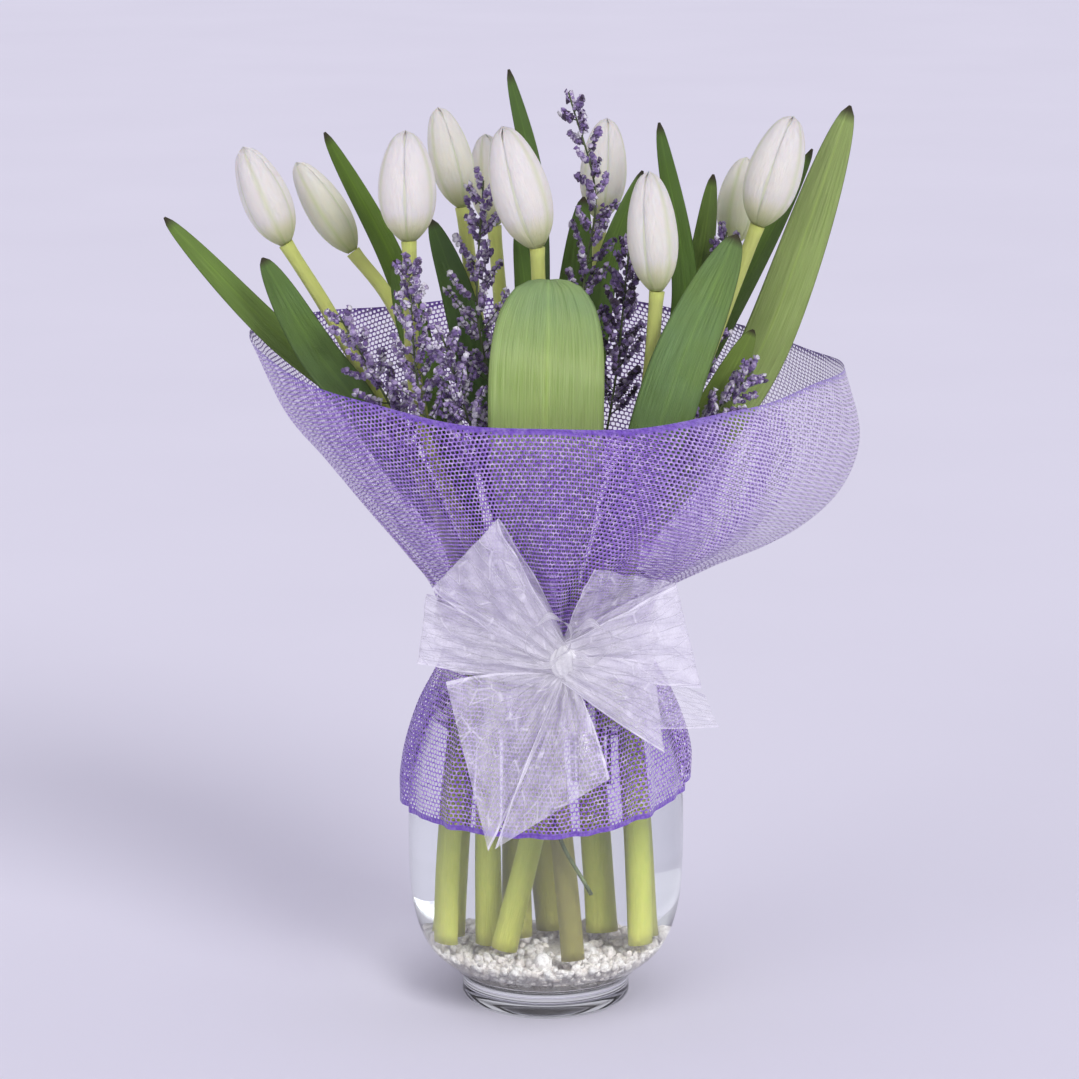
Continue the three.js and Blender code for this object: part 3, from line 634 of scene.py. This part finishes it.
leaf_tone = arithmetic(leaf_finish, "MULTIPLY", mark_on(leaf_finish, "pale"), 0.75)
leaf_tone = arithmetic(leaf_finish, "MULTIPLY_ADD", leaf_streaks, 0.5, leaf_tone)
leaf_green = ramp(
    leaf_finish, leaf_tone,
    (0.1, 0.05, 0.11, 0.012), (0.45, 0.14, 0.25, 0.03), (0.8, 0.30, 0.44, 0.085), (1.1, 0.46, 0.60, 0.20),
)
leaf_bloom = arithmetic(leaf_finish, "MULTIPLY", leaf_clouds, 0.9)
leaf_bloom = arithmetic(leaf_finish, "MULTIPLY", mark_on(leaf_finish, "blue"), leaf_bloom)
leaf_colour = mixed(leaf_finish, leaf_bloom, leaf_green, (0.20, 0.34, 0.18))
leaf_edge = ramp(
    leaf_finish, off_middle(leaf_finish, leaf_side),
    (0.0, 1.2, 1.2, 1.1), (0.04, 1, 1, 1), (0.47, 1, 1, 1), (0.5, 0.7, 0.7, 0.66),
)
withered = ramp(leaf_finish, leaf_up, (0.965, 0, 0, 0), (0.99, 1, 1, 1))
fresh_leaf = shaded(leaf_finish, leaf_colour, leaf_edge)
set_sockets(leaf_finish, {
    "Base Color": mixed(leaf_finish, withered, fresh_leaf, (0.07, 0.06, 0.03)),
    "Normal": bumped(leaf_finish, cloudy(leaf_finish, 6, 2, leaf_place, (34, 0.6, 1)), 0.0006),
})


def blade_share(v, folded):
    """How much of its full width a blade has at a share of the way up: it widens from the sheath
    and tapers to a point, or stays broad and rounds off where the leaf is folded over."""
    if folded:
        widening = 0.5 + 0.5 * np.sin(np.pi / 2 * np.minimum(v * 2.6, 1))
        return widening * np.interp(v, FOLD_AT, FOLD_SHARE)
    swell = 0.4 + 0.6 * np.sin(np.pi / 2 * np.minimum(v / 0.5, 1))
    return swell * np.sqrt(1 - np.maximum((v - 0.45) / 0.55, 0) ** 2.2)


def blade(rib, width, looking, channel, folded, wave):
    """A leaf: a smooth line for the midrib, the blade to both sides of it, raised or lowered with
    the distance from the rib, and waved at the edges."""
    u, v = np.meshgrid(np.linspace(-1, 1, LEAF_COLUMNS), np.linspace(0, 1, LEAF_ROWS))
    path = line_through(rib, LEAF_ROWS)
    forward = unit(np.gradient(path, axis=0))
    looks = np.broadcast_to(looking, forward.shape)
    if folded:
        turning = np.clip(-forward[:, 2:], 0, 1)
        looks = looks * (1 - 2 * turning) + np.array((0, 0, 1)) * (1 - np.abs(forward[:, 2:]))
    across = unit(np.cross(looks, forward))
    across = across * np.sign(across[:, :1])
    normal = np.cross(forward, across)
    half = np.maximum(blade_share(v, folded) * width / 2, 0.0004)
    lift = channel * half * np.abs(u) ** 1.4
    lift = lift + 0.03 * width * np.abs(u) ** 2.5 * np.sin(2 * np.pi * (2.3 * v + wave)) * (1 - v)
    sideways = u * half
    return path[:, None] + across[:, None] * sideways[..., None] + normal[:, None] * lift[..., None]


for number, (rib, width, looking, channel, pale, blue) in enumerate(LEAVES, 1):
    folded = number == FOLDED_LEAF
    if folded:
        rib = (*rib[:-1], *FOLDED_TIP)
    grid = blade(in_bunch(*rib), width * 0.001, looking, channel, folded, 0.37 * number)
    uv = flat_map(LEAF_COLUMNS, LEAF_ROWS)
    if folded:
        side, up = uv[..., 0], uv[..., 1]
        pale_crease = 0.12 * np.exp(-(((up - 0.62 + 0.06 * side) / 0.03) ** 2))
        pale = pale + pale_crease + 0.1 * np.exp(-(((up - 0.3) / 0.1) ** 2))
        blue = blue + 0.7 * np.clip((up - 0.6) / 0.15, 0, 1)
    leaf = surface(f"blade_{number:02d}", grid, leaf_finish, "leaf", uv=uv, pale=[pale], blue=[blue])
    thicken(leaf, LEAF_THICKNESS, 0)
    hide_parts(f"leaf_{number:02d}")

# The sea lavender: dry, wiry sprigs that branch near the top, with small papery lilac florets in
# rows along the branches. Each row gives the stalk's points in the water, below its surface, and
# above the vase's mouth, the share of it where the branches begin, and how far they reach.
SPRIGS = [
    (((4, -9, -34),), ((6, -11, 0), (11, -15, 90), (18, -16, 150), (22, -15, 182), (10, -14, 227)),
     0.66, 13),
    (((-11, -8, -34),), ((-18, -9, 0), (-25, -12, 90), (-31, -14, 130), (-28, -14, 188)), 0.66, 17),
    (((-29, -16, -34),), ((-32, -12, 0), (-50, -19, 45), (-68, -26, 84), (-92, -33, 130)), 0.66, 15),
    (((19, -42, -78), (4, -41, -46)), ((-10, -39, 0), (-20, -43, 38), (-34, -48, 84), (-46, -52, 125)),
     0.74, 15),
    (((-15, -24, -34),), ((-17, -32, 0), (-34, -44, 40), (-55, -45, 92), (-61, -43, 156)), 0.72, 12),
    (((10, -12, -34),), ((11, -15, 0), (20, -17, 40), (30, -19, 90), (37, -20, 158)), 0.7, 14),
    (((24, -16, -34),), ((28, -20, 0), (44, -33, 35), (64, -38, 72), (92, -38, 106)), 0.7, 14),
    (((18, 2, -34),), ((24, 3, 0), (36, 8, 28), (55, 9, 70), (71, 6, 112), (82, 5, 162)), 0.72, 11),
]
DARKER = {1: 0.12, 6: 0.3, 8: 0.1}  # sprigs whose florets have dried darker
stalk_finish = finish_of("dry_stalk", {"Roughness": 0.7})
set_sockets(stalk_finish, {
    "Base Color": ramp(
        stalk_finish, cloudy(stalk_finish, 160, 2), (0.3, 0.055, 0.075, 0.03), (0.7, 0.16, 0.20, 0.09),
    ),
    "Normal": bumped(stalk_finish, cloudy(stalk_finish, 700, 2), 0.0003),
})
floret_finish = finish_of("papery_floret", {"Roughness": 0.75, "Sheen Weight": 0.3})
# Each floret's tone is drawn at random from near black to near white. This is partly the florets' own mix of
# lilac and whitish tones, and partly painted light: the darkest florets are painted shade and the palest are
# painted highlights.
floret_tone = cloudy(floret_finish, 900, 2)
floret_tone = arithmetic(floret_finish, "MULTIPLY_ADD", floret_tone, 0.35, mark_on(floret_finish, "tint"))
set_sockets(floret_finish, {
    "Base Color": ramp(
        floret_finish, floret_tone,
        (0.1, 0.05, 0.03, 0.06), (0.4, 0.22, 0.14, 0.37), (0.7, 0.43, 0.32, 0.60), (0.95, 0.72, 0.65, 0.78),
        (1.15, 0.86, 0.83, 0.90),
    ),
    "Normal": bumped(floret_finish, cloudy(floret_finish, 1500, 2), 0.0003),
})
FLORET_RADII, FLORET_HEIGHTS = np.array([(0, 0), (0.34, 0.4), (0.72, 1.0), (0, 0.72)]).T[..., None, None]
BRANCHES, FLORETS_PER_ROW = 28, 13


def branches_of(path, start, reach, count):
    """Thin branches that leave a stalk in turn all round it, and bend up as they grow: each is
    its base, plus a way out times a distance, plus the stalk's direction times its square."""
    share = np.linspace(start, 0.985, count)
    at = share * (len(path) - 1)
    base = np.stack([np.interp(at, np.arange(len(path)), column) for column in path.T], -1)
    forward, side, other = (
        np.stack([np.interp(at, np.arange(len(path)), column) for column in part.T], -1)
        for part in frame_along(path)
    )
    turn = np.arange(count) * 2.4 + random.uniform(-0.4, 0.4, count)
    out = side * np.cos(turn)[:, None] + other * np.sin(turn)[:, None]
    left = (share - start) / (1 - start)
    length = reach * (1.15 - 0.65 * left) * random.uniform(0.75, 1.1, count)
    step = np.linspace(0, 1, 9)[None, :, None]
    way = unit(out + forward * random.uniform(0.35, 0.9, (count, 1)))
    bend = forward[:, None] * step**2 * 0.45
    return base[:, None] + length[:, None, None] * (way[:, None] * step + bend)


def florets_on(branch_lines, per_branch):
    """Small cups in two rows along each branch: a six-sided profile carried round an axis that
    leans out from the branch."""
    count = len(branch_lines)
    at = np.linspace(0.25, 1, per_branch) * (branch_lines.shape[1] - 1)
    low = np.minimum(at.astype(int), branch_lines.shape[1] - 2)
    part = (at - low)[None, :, None]
    base = branch_lines[:, low] * (1 - part) + branch_lines[:, low + 1] * part
    forward = unit(branch_lines[:, low + 1] - branch_lines[:, low])
    across = unit(np.cross(forward, random.normal(size=(count, 1, 3))))
    rows = np.array((1, -1))[None, None, :, None]
    strayed = random.normal(0, 0.4, (count, per_branch, 2, 3))
    axis = unit(forward[:, :, None] * 0.7 + across[:, :, None] * rows + strayed)
    base = np.broadcast_to(base[:, :, None], axis.shape).reshape(-1, 3)
    axis = axis.reshape(-1, 3)
    side = unit(np.cross(axis, random.normal(size=axis.shape)))
    other = np.cross(axis, side)
    angle = once_round(6)[:, None]
    round_it = side[:, None] * np.cos(angle) + other[:, None] * np.sin(angle)
    size = random.uniform(0.0011, 0.0022, (len(axis), 1, 1, 1))
    cups = axis[:, None, None] * FLORET_HEIGHTS + round_it[:, None] * FLORET_RADII
    return base[:, None, None] + cups * size


def thin_tubes(lines, radius, sides=5):
    """A round branch along each of a stack of lines, thinner at its end, closed at both ends."""
    forward = unit(np.gradient(lines, axis=1))
    side = unit(np.cross(forward, (0.31, 0.83, 0.47)))
    other = np.cross(forward, side)
    angle = once_round(sides)[:, None]
    round_it = side[:, :, None] * np.cos(angle) + other[:, :, None] * np.sin(angle)
    taper = np.linspace(1, 0.55, lines.shape[1])[:, None, None] * radius
    rings = lines[:, :, None] + round_it * taper
    first, last = (np.repeat(lines[:, [end], None], sides, 2) for end in (0, -1))
    return np.concatenate([first, rings, last], 1)


for number, (wet, dry, start, reach) in enumerate(SPRIGS, 1):
    in_water = np.array(wet) * 0.001 + (0, 0, WATER_Z)
    path = line_through(np.vstack([in_water, in_bunch(*dry)]), 80)
    radii = np.linspace(0.0009, 0.0004, 80)
    stalk = surface(f"sprig_stalk_{number}", tube(path, radii, 8), stalk_finish, "stem", closed=True)
    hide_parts(f"sea_lavender_{number}")
    lines = branches_of(path, start, reach * 0.001, BRANCHES)
    twigs = thin_tubes(lines, 0.00034)
    surface(f"sprig_branches_{number}", twigs, stalk_finish, "stem", closed=True)
    cups = florets_on(lines, FLORETS_PER_ROW)
    surface(
        f"sprig_florets_{number}", cups, floret_finish, "sea_lavender", closed=True,
        tint=random.beta(0.9, 1.05, len(cups)) - DARKER.get(number, 0),
    )

# The wrap: an open, springy violet net, wound round the vase and tied in at its neck. It hangs
# over the belly as a skirt, is gathered under the ribbon, and opens out above the mouth to a wide
# lobe on each side. Its cut edges are bound dense. Each ring, from the hem to the rim, gives a level,
# then the net's reach and its height over that level at the right, the back, the left and the front,
# in millimetres.
NET_OFF_GLASS = 0.0022
BELLY_NET = (BELLY_RADIUS + NET_OFF_GLASS) * 1000
NECK_NET = (NECK_RADIUS + NET_OFF_GLASS) * 1000
MOUTH_NET = (MOUTH_RADIUS + NET_OFF_GLASS) * 1000
NECK_MM, BELLY_MM, MOUTH_MM = NECK_Z * 1000, BELLY_Z * 1000, MOUTH_Z * 1000
SHOULDER = BELLY_NET * 0.66 + NECK_NET * 0.34
RINGS = [
    (BELLY_MM, (BELLY_NET, 23), (BELLY_NET, 17), (BELLY_NET + 1, 13), (BELLY_NET, 13)),
    (BELLY_MM, (BELLY_NET, 38), (BELLY_NET, 33), (BELLY_NET + 0.5, 30), (BELLY_NET + 1, 30)),
    (NECK_MM, (SHOULDER, -28), (SHOULDER, -30), (SHOULDER, -32), (SHOULDER + 1, -32)),
    (NECK_MM, (NECK_NET + 3, -9), (NECK_NET + 3, -9), (NECK_NET + 2, -9), (NECK_NET + 3, -10)),
    (NECK_MM, (NECK_NET, 4), (NECK_NET, 4), (NECK_NET, 4), (NECK_NET, 4)),
    (MOUTH_MM, (MOUTH_NET + 1, -3), (MOUTH_NET, -1), (MOUTH_NET, -1), (MOUTH_NET, -1)),
    (MOUTH_MM, (76, 10), (55, 14), (65, 16), (57, 12)),
    (MOUTH_MM, (112, 25), (58, 35), (84, 38), (63, 31)),
    (MOUTH_MM, (134, 45), (61, 60), (104, 62), (69, 51)),
    (MOUTH_MM, (142, 68), (64, 87), (121, 82), (74, 71)),
    (MOUTH_MM, (134, 101), (66, 122), (137, 116), (77, 87)),
]
ring_points = np.array([[(reach, level + rise) for reach, rise in sides] for level, *sides in RINGS])
right_line, back_line, left_line, front_line = (
    line_through(ring_points[:, side] * 0.001) for side in range(4)
)
NET_ROWS = len(front_line)
PLEATS = ((17, 0.9, 0.35), (26, 2.1, 0.4), (39, 0.2, 0.25))


def net_surface(angle, rows, inward=0.0):
    """The net at each angle round it and each row up: the reach is the right or left line's to the
    sides and the front or back line's fore and aft, the height lies between the two, pleats move
    it in and out near the neck, and it never comes nearer to the glass than its clearance."""
    cos, sin = np.cos(angle)[None], np.sin(angle)[None]
    sideways = np.where((cos >= 0)[..., None], right_line[rows][:, None], left_line[rows][:, None])
    fore_aft = np.where((sin >= 0)[..., None], back_line[rows][:, None], front_line[rows][:, None])
    height = sideways[..., 1] * cos**2 + fore_aft[..., 1] * sin**2
    pleat = sum(share * np.cos(count * angle + start) for count, start, share in PLEATS)[None]
    above_tie = np.clip((height - NECK_Z - 0.02) / 0.10, 0, 1)
    below_tie = np.clip((NECK_Z - height) / 0.05, 0, 1)
    depth = 0.0012 + 0.0012 * np.sin(np.pi * above_tie**0.6) ** 1.5 + 0.0006 * below_tie
    depth = depth * (1 - 0.85 * np.clip((height - MOUTH_Z) / 0.06, 0, 1))
    billow = 0.0022 * np.sin(5 * angle + 1.1)[None] * above_tie
    moved = pleat * depth + billow - inward
    x = (sideways[..., 0] + moved) * cos
    y = (fore_aft[..., 0] + moved) * sin
    out = np.hypot(x, y)
    least = np.where(height < MOUTH_Z + 0.001, glass_radius(height) + 0.0009 - inward * 0.4, 0)
    push = np.maximum(least / out, 1)
    return np.stack([x * push, y * push, height + 0.0006 * np.sin(11 * angle)[None] * above_tie], -1)


def running_length(grid):
    """How far each point is from the first row, along its column."""
    steps = np.linalg.norm(np.diff(grid, axis=0), axis=2)
    return np.vstack([np.zeros((1, grid.shape[1])), np.cumsum(steps, axis=0)])


def cloth_area(grid, closed=False):
    """The sum of the cells' areas."""
    corners = grid.reshape(-1, 3)[grid_cells(*grid.shape[:2], closed)]
    halves = np.cross(corners[:, 2] - corners[:, 0], corners[:, 3] - corners[:, 1])
    return float(np.linalg.norm(halves, axis=1).sum() / 2)


net_finish = finish_of("violet_net", {
    "Roughness": 0.42,
    "Sheen Weight": 0.35,
    "Sheen Roughness": 0.4,
})
NET_PITCH = 0.002
HOLE_HALF_WIDTH, HOLE_HALF_HEIGHT = 0.385, 0.375
net_place, net_across, net_up = map_place(net_finish)
edge_mark = mark_on(net_finish, "edge")
net_row = arithmetic(net_finish, "DIVIDE", net_up, NET_PITCH)
net_shift = arithmetic(net_finish, "FLOORED_MODULO", arithmetic(net_finish, "FLOOR", net_row), 2)
net_column = arithmetic(net_finish, "DIVIDE", net_across, NET_PITCH)
net_column = arithmetic(net_finish, "MULTIPLY_ADD", net_shift, 0.5, net_column)
net_wobble = arithmetic(net_finish, "MULTIPLY_ADD", cloudy(net_finish, 260, 2, net_place), 0.24, -0.12)


def off_hole_along(cell, half):
    """How far a point is from the middle of its cell's hole one way: 1 or more is past the hole."""
    part = arithmetic(net_finish, "FRACT", arithmetic(net_finish, "ADD", cell, net_wobble))
    share = arithmetic(net_finish, "DIVIDE", off_middle(net_finish, part), half)
    return arithmetic(net_finish, "POWER", share, 3)


off_hole = arithmetic(
    net_finish, "ADD",
    off_hole_along(net_column, HOLE_HALF_WIDTH), off_hole_along(net_row, HOLE_HALF_HEIGHT),
)
thread = arithmetic(net_finish, "GREATER_THAN", arithmetic(net_finish, "ADD", off_hole, edge_mark), 1.0)
# The threads' colour varies at random from deep violet to pale lilac. This is partly the threads' own
# variation and partly painted highlight: the pale patches stand in for glints on the threads.
net_colour = ramp(
    net_finish, cloudy(net_finish, 420, 3),
    (0.3, 0.23, 0.10, 0.56), (0.52, 0.48, 0.29, 0.84), (0.72, 0.76, 0.60, 0.97),
)
net_relief = arithmetic(net_finish, "MINIMUM", off_hole, 2.0)
# The net's colour with painted light mixed in: the 'pale' mark here carries painted light, a pale lilac on
# the net's lit right side above the tie.
net_with_painted_light = mixed(net_finish, mark_on(net_finish, "pale"), net_colour, (0.80, 0.70, 0.98))
edge_share = arithmetic(net_finish, "MULTIPLY", edge_mark, 0.7)
set_sockets(net_finish, {
    "Base Color": mixed(net_finish, edge_share, net_with_painted_light, (0.13, 0.05, 0.46)),
    "Alpha": thread,
    "Normal": bumped(net_finish, net_relief, 0.0002),
})
NET_COLUMNS = 384
net_angles = once_round(NET_COLUMNS)
net_grid = net_surface(net_angles, np.arange(NET_ROWS))
net_run = running_length(net_grid)
SKIRT_GIRTH, TOP_GIRTH = 0.42, 0.72
BOUND_EDGE = 0.0032


def net_map(grid, angles):
    """The place of each point on the flat net: along the girth by its angle, and up by length. The
    net is slack under the tie and gathered above it, and the tie hides where that changes."""
    run = running_length(grid)
    girth = np.where(grid[..., 2] < NECK_Z + 0.003, SKIRT_GIRTH, TOP_GIRTH)
    return np.stack([angles * girth / (2 * np.pi), run], -1)


def bound(run):
    """1 within the bound width of an edge, and 0 further in, rising over half a millimetre."""
    to_edge = np.minimum(run, run[-1:] - run)
    return np.clip((BOUND_EDGE - to_edge) / 0.0006, 0, 1)


in_skirt = np.clip((NECK_Z - 0.012 - net_grid[..., 2]) / 0.01, 0, 1)
from_fold = np.abs(net_angles - np.radians(190)) / np.radians(19)
fold_strip = 0.78 * np.exp(-(from_fold**6)) * in_skirt
slack = 0.3 * np.clip((np.cos(net_angles) - 0.55) / 0.3, 0, 1) * in_skirt
# Painted light: above the tie, the net is painted paler towards its right side, where the key light from the
# front right falls on it.
painted_light_right = 0.85 * np.clip((net_grid[..., 0] - 0.045) / 0.055, 0, 1) * (1 - in_skirt)
round_again = np.append(net_angles, 2 * np.pi)
closed_grid = np.concatenate([net_grid, net_grid[:, :1]], 1)
net = surface(
    "net_wrap", net_grid, net_finish, "mesh", closed=True,
    uv=net_map(closed_grid, round_again), edge=np.maximum(bound(net_run), fold_strip + slack)[None],
    pale=painted_light_right[None],
)
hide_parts("mesh_skirt", *[f"mesh_wall_{side}" for side in ("right", "back", "left", "front")])
UNDER_NET = 0.0016
LINING_COLUMNS = 190
lining_angles = np.radians(np.linspace(-146, -38, LINING_COLUMNS))
lining_rows = np.arange(34, NET_ROWS - 1)
lining_grid = net_surface(lining_angles, lining_rows, UNDER_NET)
lining_map = net_map(lining_grid, lining_angles) + np.array((0.00085, 0.0007))
lining = surface(
    "net_second_layer", lining_grid, net_finish, "mesh", uv=lining_map,
    edge=np.zeros((1, *lining_grid.shape[:2])), pale=[0.0],
)

# The ribbon: wide white organza, sheer and crisp, so that it creases. It goes round the waist in a
# gathered band and is tied in front in a bow of four loops and two tails, with a small curl where
# it passes through the knot. Two thicknesses look whiter than one, and its woven edges are denser.
RIBBON_FLAT = 0.05
band_low, band_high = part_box("ribbon_band")
knot_low, knot_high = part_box("bow_knot")
KNOT = np.array((knot_low + knot_high) / 2)
organza = finish_of("organza", {
    "Roughness": 0.38,
    "Sheen Weight": 0.5,
    "Sheen Roughness": 0.3,
})
SELVEDGE = 0.0011
organza_place, organza_across, _ = map_place(organza)
dense_mark = mark_on(organza, "dense")
crease_place = node(organza, "ShaderNodeMapping", {
    "Vector": organza_place, "Rotation": (0, 0, 0.5), "Scale": (1.0, 0.3, 1.0),
}).outputs[0]
creases = node(
    organza, "ShaderNodeTexVoronoi", {"Vector": crease_place, "Scale": 170.0}, feature="DISTANCE_TO_EDGE",
).outputs["Distance"]
from_crease = arithmetic(organza, "MINIMUM", arithmetic(organza, "MULTIPLY", creases, 22.0), 1.0)
crease_line = arithmetic(organza, "SUBTRACT", 1.0, from_crease)
organza_clouds = cloudy(organza, 130, 4, organza_place)
from_centre = arithmetic(organza, "ABSOLUTE", organza_across)
selvedge = arithmetic(organza, "GREATER_THAN", from_centre, RIBBON_FLAT / 2 - SELVEDGE)
fine_weave = node(organza, "ShaderNodeTexNoise", {
    "Vector": organza_place, "Scale": 1100.0, "Detail": 3.0, "Roughness": 0.7,
}).outputs["Fac"]
cover = -0.13
for part, weight in (
    (organza_clouds, 0.6), (crease_line, 0.3), (selvedge, 0.3), (dense_mark, 0.55), (fine_weave, 0.42),
):
    cover = arithmetic(organza, "MULTIPLY_ADD", part, weight, cover)
organza_relief = arithmetic(organza, "MULTIPLY_ADD", organza_clouds, 1.5, crease_line)
set_sockets(organza, {
    "Base Color": mixed(organza, dense_mark, (0.91, 0.875, 0.98), (1.0, 0.99, 1.0)),
    "Alpha": arithmetic(organza, "MINIMUM", cover, 0.97),
    "Normal": bumped(organza, organza_relief, 0.0003),
})
PLEAT_DEPTH = 0.0022
CRUMPLE_DEPTH = 0.0016
OFF_NET = 0.0022


def net_front(x, z):
    """How far forward the net comes at a distance from the middle and a height."""
    reach, to_right, to_left = (
        np.interp(z, line[:, 1], line[:, 0]) for line in (front_line, right_line, left_line)
    )
    half = np.where(x >= 0, to_right, to_left)
    return reach * np.sqrt(np.maximum(1 - (x / half) ** 2, 0))


def crumple(u, v, start):
    """A gentle, uneven wave over a surface: a few sine waves that cross at odd angles."""
    return (
        np.sin(7.1 * u + 3.3 * v + start) * np.cos(2.7 * u - 6.1 * v + 2 * start)
        + 0.6 * np.sin(13 * u - 9.4 * v + 3 * start) + 0.35 * np.sin(21 * u + 17 * v - start)
    ) / 1.6


def ribbon_piece(corners, depth, pleats, start, is_loop):
    """A loop or a tail between the two ends of a line at the knot and the two ends of its outer
    edge. A loop runs out and back, as a long flat ring, and a tail only out. Pleats fan out from
    the knot and die away, the cloth is crumpled more the further it is from the knot, and it is
    moved forward where it would come too near to the net."""
    near_a, near_b, far_a, far_b = np.array(corners) * 0.001 + KNOT
    rows, columns = (72, 41) if is_loop else (48, 41)
    w, s = np.meshgrid(np.linspace(0, 1, columns), np.linspace(0, 1, rows))
    out = (1 - np.cos(2 * np.pi * s)) / 2 if is_loop else s
    near = near_a + (near_b - near_a) * w[..., None]
    far = far_a + (far_b - far_a) * w[..., None]
    points = near + (far - near) * out[..., None]
    normal = unit(np.cross(far_b - far_a + near_b - near_a, far_a + far_b - near_a - near_b))
    normal = normal * -np.sign(normal[1])
    side = np.sin(2 * np.pi * s) if is_loop else 0.4 * np.sin(np.pi * s)
    lift = depth * side * (0.75 + 0.25 * np.sin(np.pi * w))
    fading = np.exp(-2.6 * out) * np.minimum(out * 6, 1)
    lift = lift + PLEAT_DEPTH * np.sin(2 * np.pi * pleats * w + start) * fading
    lift = lift + CRUMPLE_DEPTH * crumple(1.6 * w, 1.3 * out + 0.8 * s, start) * np.minimum(out * 1.5, 1)
    edge_bow = 0.05 * np.sin(np.pi * out) * (w - 0.5)
    points = points + normal * lift[..., None] + (far_b - far_a) * edge_bow[..., None]
    clearance = np.where(s < 0.5, OFF_NET + 0.0012, OFF_NET)
    nearest = -net_front(points[..., 0], points[..., 2]) - clearance
    points[..., 1] = np.minimum(points[..., 1], nearest)
    return points


def ribbon_map(points):
    """The place of each point on the flat ribbon: across its width, and along it by length."""
    run = running_length(points).mean(1)
    across = np.linspace(-RIBBON_FLAT / 2, RIBBON_FLAT / 2, points.shape[1])
    return np.stack(np.meshgrid(across, run), -1)


# Each piece: its four corners in millimetres from the knot's middle, how far it stands open, its
# pleats and where they start, and whether it is a loop.
BOW = {
    "bow_loop_upper_left": (((-5, 1, -1), (1, -1, 8), (-59, 7, 32), (-29.5, -12, 68)), 0.0045, 3, 0.4, True),
    "bow_loop_left": (((-2, 3, -8), (-3, 3, 4), (-66, 16, -5), (-62, 15, 27)), 0.006, 3, 2.1, True),
    "bow_loop_upper_right": (((0, -1, 9), (3, 0, -2), (50, 6, 34.5), (62, 11, -15)), 0.0055, 4, 1.2, True),
    "bow_loop_right": (((3, -2, 3), (-1, -3, -9), (40.5, 6, -2), (45, -2, -42)), 0.0065, 3, 3.3, True),
    "bow_tail_left": (((0.5, -1, -7), (-8, 1, -6), (-34, -16, -84), (-53, -2, -9)), 0.004, 3, 4.2, False),
    "bow_tail_right": (((3, -2, -5), (-1, -2, -7), (20.5, -16, -50), (-31, -19, -82)), 0.005, 3, 5.0, False),
}
# Two single turns of the same ribbon that lie behind the loops, and so replace no piece.
BEHIND_BOW = {
    "bow_turn_upper_right": (((-1, 2, 8), (3, 2, 4), (13, -6, 44), (50, 4, 35)), 0.002, 2, 2.6, False),
    "bow_end_right": (((32, 6, -4), (38, 2, -32), (63.5, 12, -19), (70, 8, -33)), 0.001, 1, 0.7, False),
}
for name, (corners, depth, pleats, start, is_loop) in {**BOW, **BEHIND_BOW}.items():
    grid = ribbon_piece(corners, depth, pleats, start, is_loop)
    near_knot = 0.9 * np.exp(-np.linalg.norm(grid - KNOT, axis=2) / 0.014)
    layers = near_knot if name in BOW else near_knot - 0.2
    piece = surface(f"{name}_cloth", grid, organza, "organza", uv=ribbon_map(grid), dense=layers[None])
    if name in BOW:
        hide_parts(name)
    area = cloth_area(grid)

BAND_OUT = (band_high.x - band_low.x) / 2
BAND_ROWS, BAND_COLUMNS = 31, 240
band_rise, band_turn = np.meshgrid(np.linspace(0, 1, BAND_ROWS), once_round(BAND_COLUMNS), indexing="ij")
gathers = 0.0007 * np.sin(24 * band_rise + 1.6 * np.sin(3 * band_turn) + 2.2 * np.sin(7 * band_turn))
band_reach = BAND_OUT - 0.0006 + gathers + 0.0004 * np.sin(31 * band_turn)
band_grid = np.stack([
    band_reach * np.cos(band_turn), band_reach * np.sin(band_turn),
    band_low.z + (band_high.z - band_low.z) * band_rise + 0.0008 * np.sin(5 * band_turn),
], -1)
band_map = flat_map(BAND_COLUMNS + 1, BAND_ROWS, (0, 0.32), (-0.024, 0.024))[..., ::-1]
band = surface("waist_band", band_grid, organza, "organza", closed=True, uv=band_map, dense=[0.35])
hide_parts("ribbon_band")

KNOT_ROWS, KNOT_COLUMNS = 40, 64
knot_rise, knot_turn, knot_ball = ball(KNOT_ROWS, KNOT_COLUMNS)
fold = 1 + 0.13 * np.sin(11 * knot_turn + 1.2 * np.sin(2 * knot_rise)) * np.cos(knot_rise) ** 0.5
fold = fold + 0.06 * np.sin(5 * knot_rise + 2 * knot_turn)
knot_half = np.array((knot_high - knot_low) / 2) * (0.66, 0.95, 0.9)
folds = np.stack([fold, fold, 1 + 0.05 * knot_ball[..., 0]], -1)
knot_map = flat_map(KNOT_COLUMNS + 1, KNOT_ROWS, (-0.012, 0.012), (0, 0.03))
knot_grid = KNOT + knot_ball * folds * knot_half
knot = surface("bow_knot_cloth", knot_grid, organza, "organza", closed=True, uv=knot_map, dense=[1.0])
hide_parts("bow_knot")


def curl(middle, radius, width, tilt, turn):
    """A narrow strip of ribbon that goes once round in a ring and leans back on the knot."""
    across, along = np.moveaxis(flat_map(CURL_COLUMNS, CURL_ROWS, (-1, 1), (0, 2 * np.pi)), -1, 0)
    reach = radius * (1 + 0.10 * np.sin(2 * along + turn)) + 0.0009 * across * np.sin(3 * along)
    lean = tilt * np.sin(along + turn)
    return np.array(middle) * 0.001 + KNOT + np.stack([
        reach * np.cos(along), -width * across * (1 - 0.4 * np.cos(along)) + 0.006 * lean,
        reach * np.sin(along) * 1.1 + 0.0008 * np.sin(5 * along),
    ], -1)


CURL_COLUMNS, CURL_ROWS = 9, 60
CURLS = {
    "bow_curl_left": ((-7, -13, 13), 0.0095, 0.0024, 0.5, 0.6),
    "bow_curl_right": ((12, -12, 12), 0.0085, 0.0038, 0.4, 2.2),
}
for name, (middle, radius, width, tilt, turn) in CURLS.items():
    grid = curl(middle, radius, width, tilt, turn)
    uv = flat_map(CURL_COLUMNS, CURL_ROWS, (-0.026, 0.026), (0, 0.05))
    piece = surface(name, grid, organza, "organza", uv=uv, dense=[0.4])
    area = cloth_area(grid)
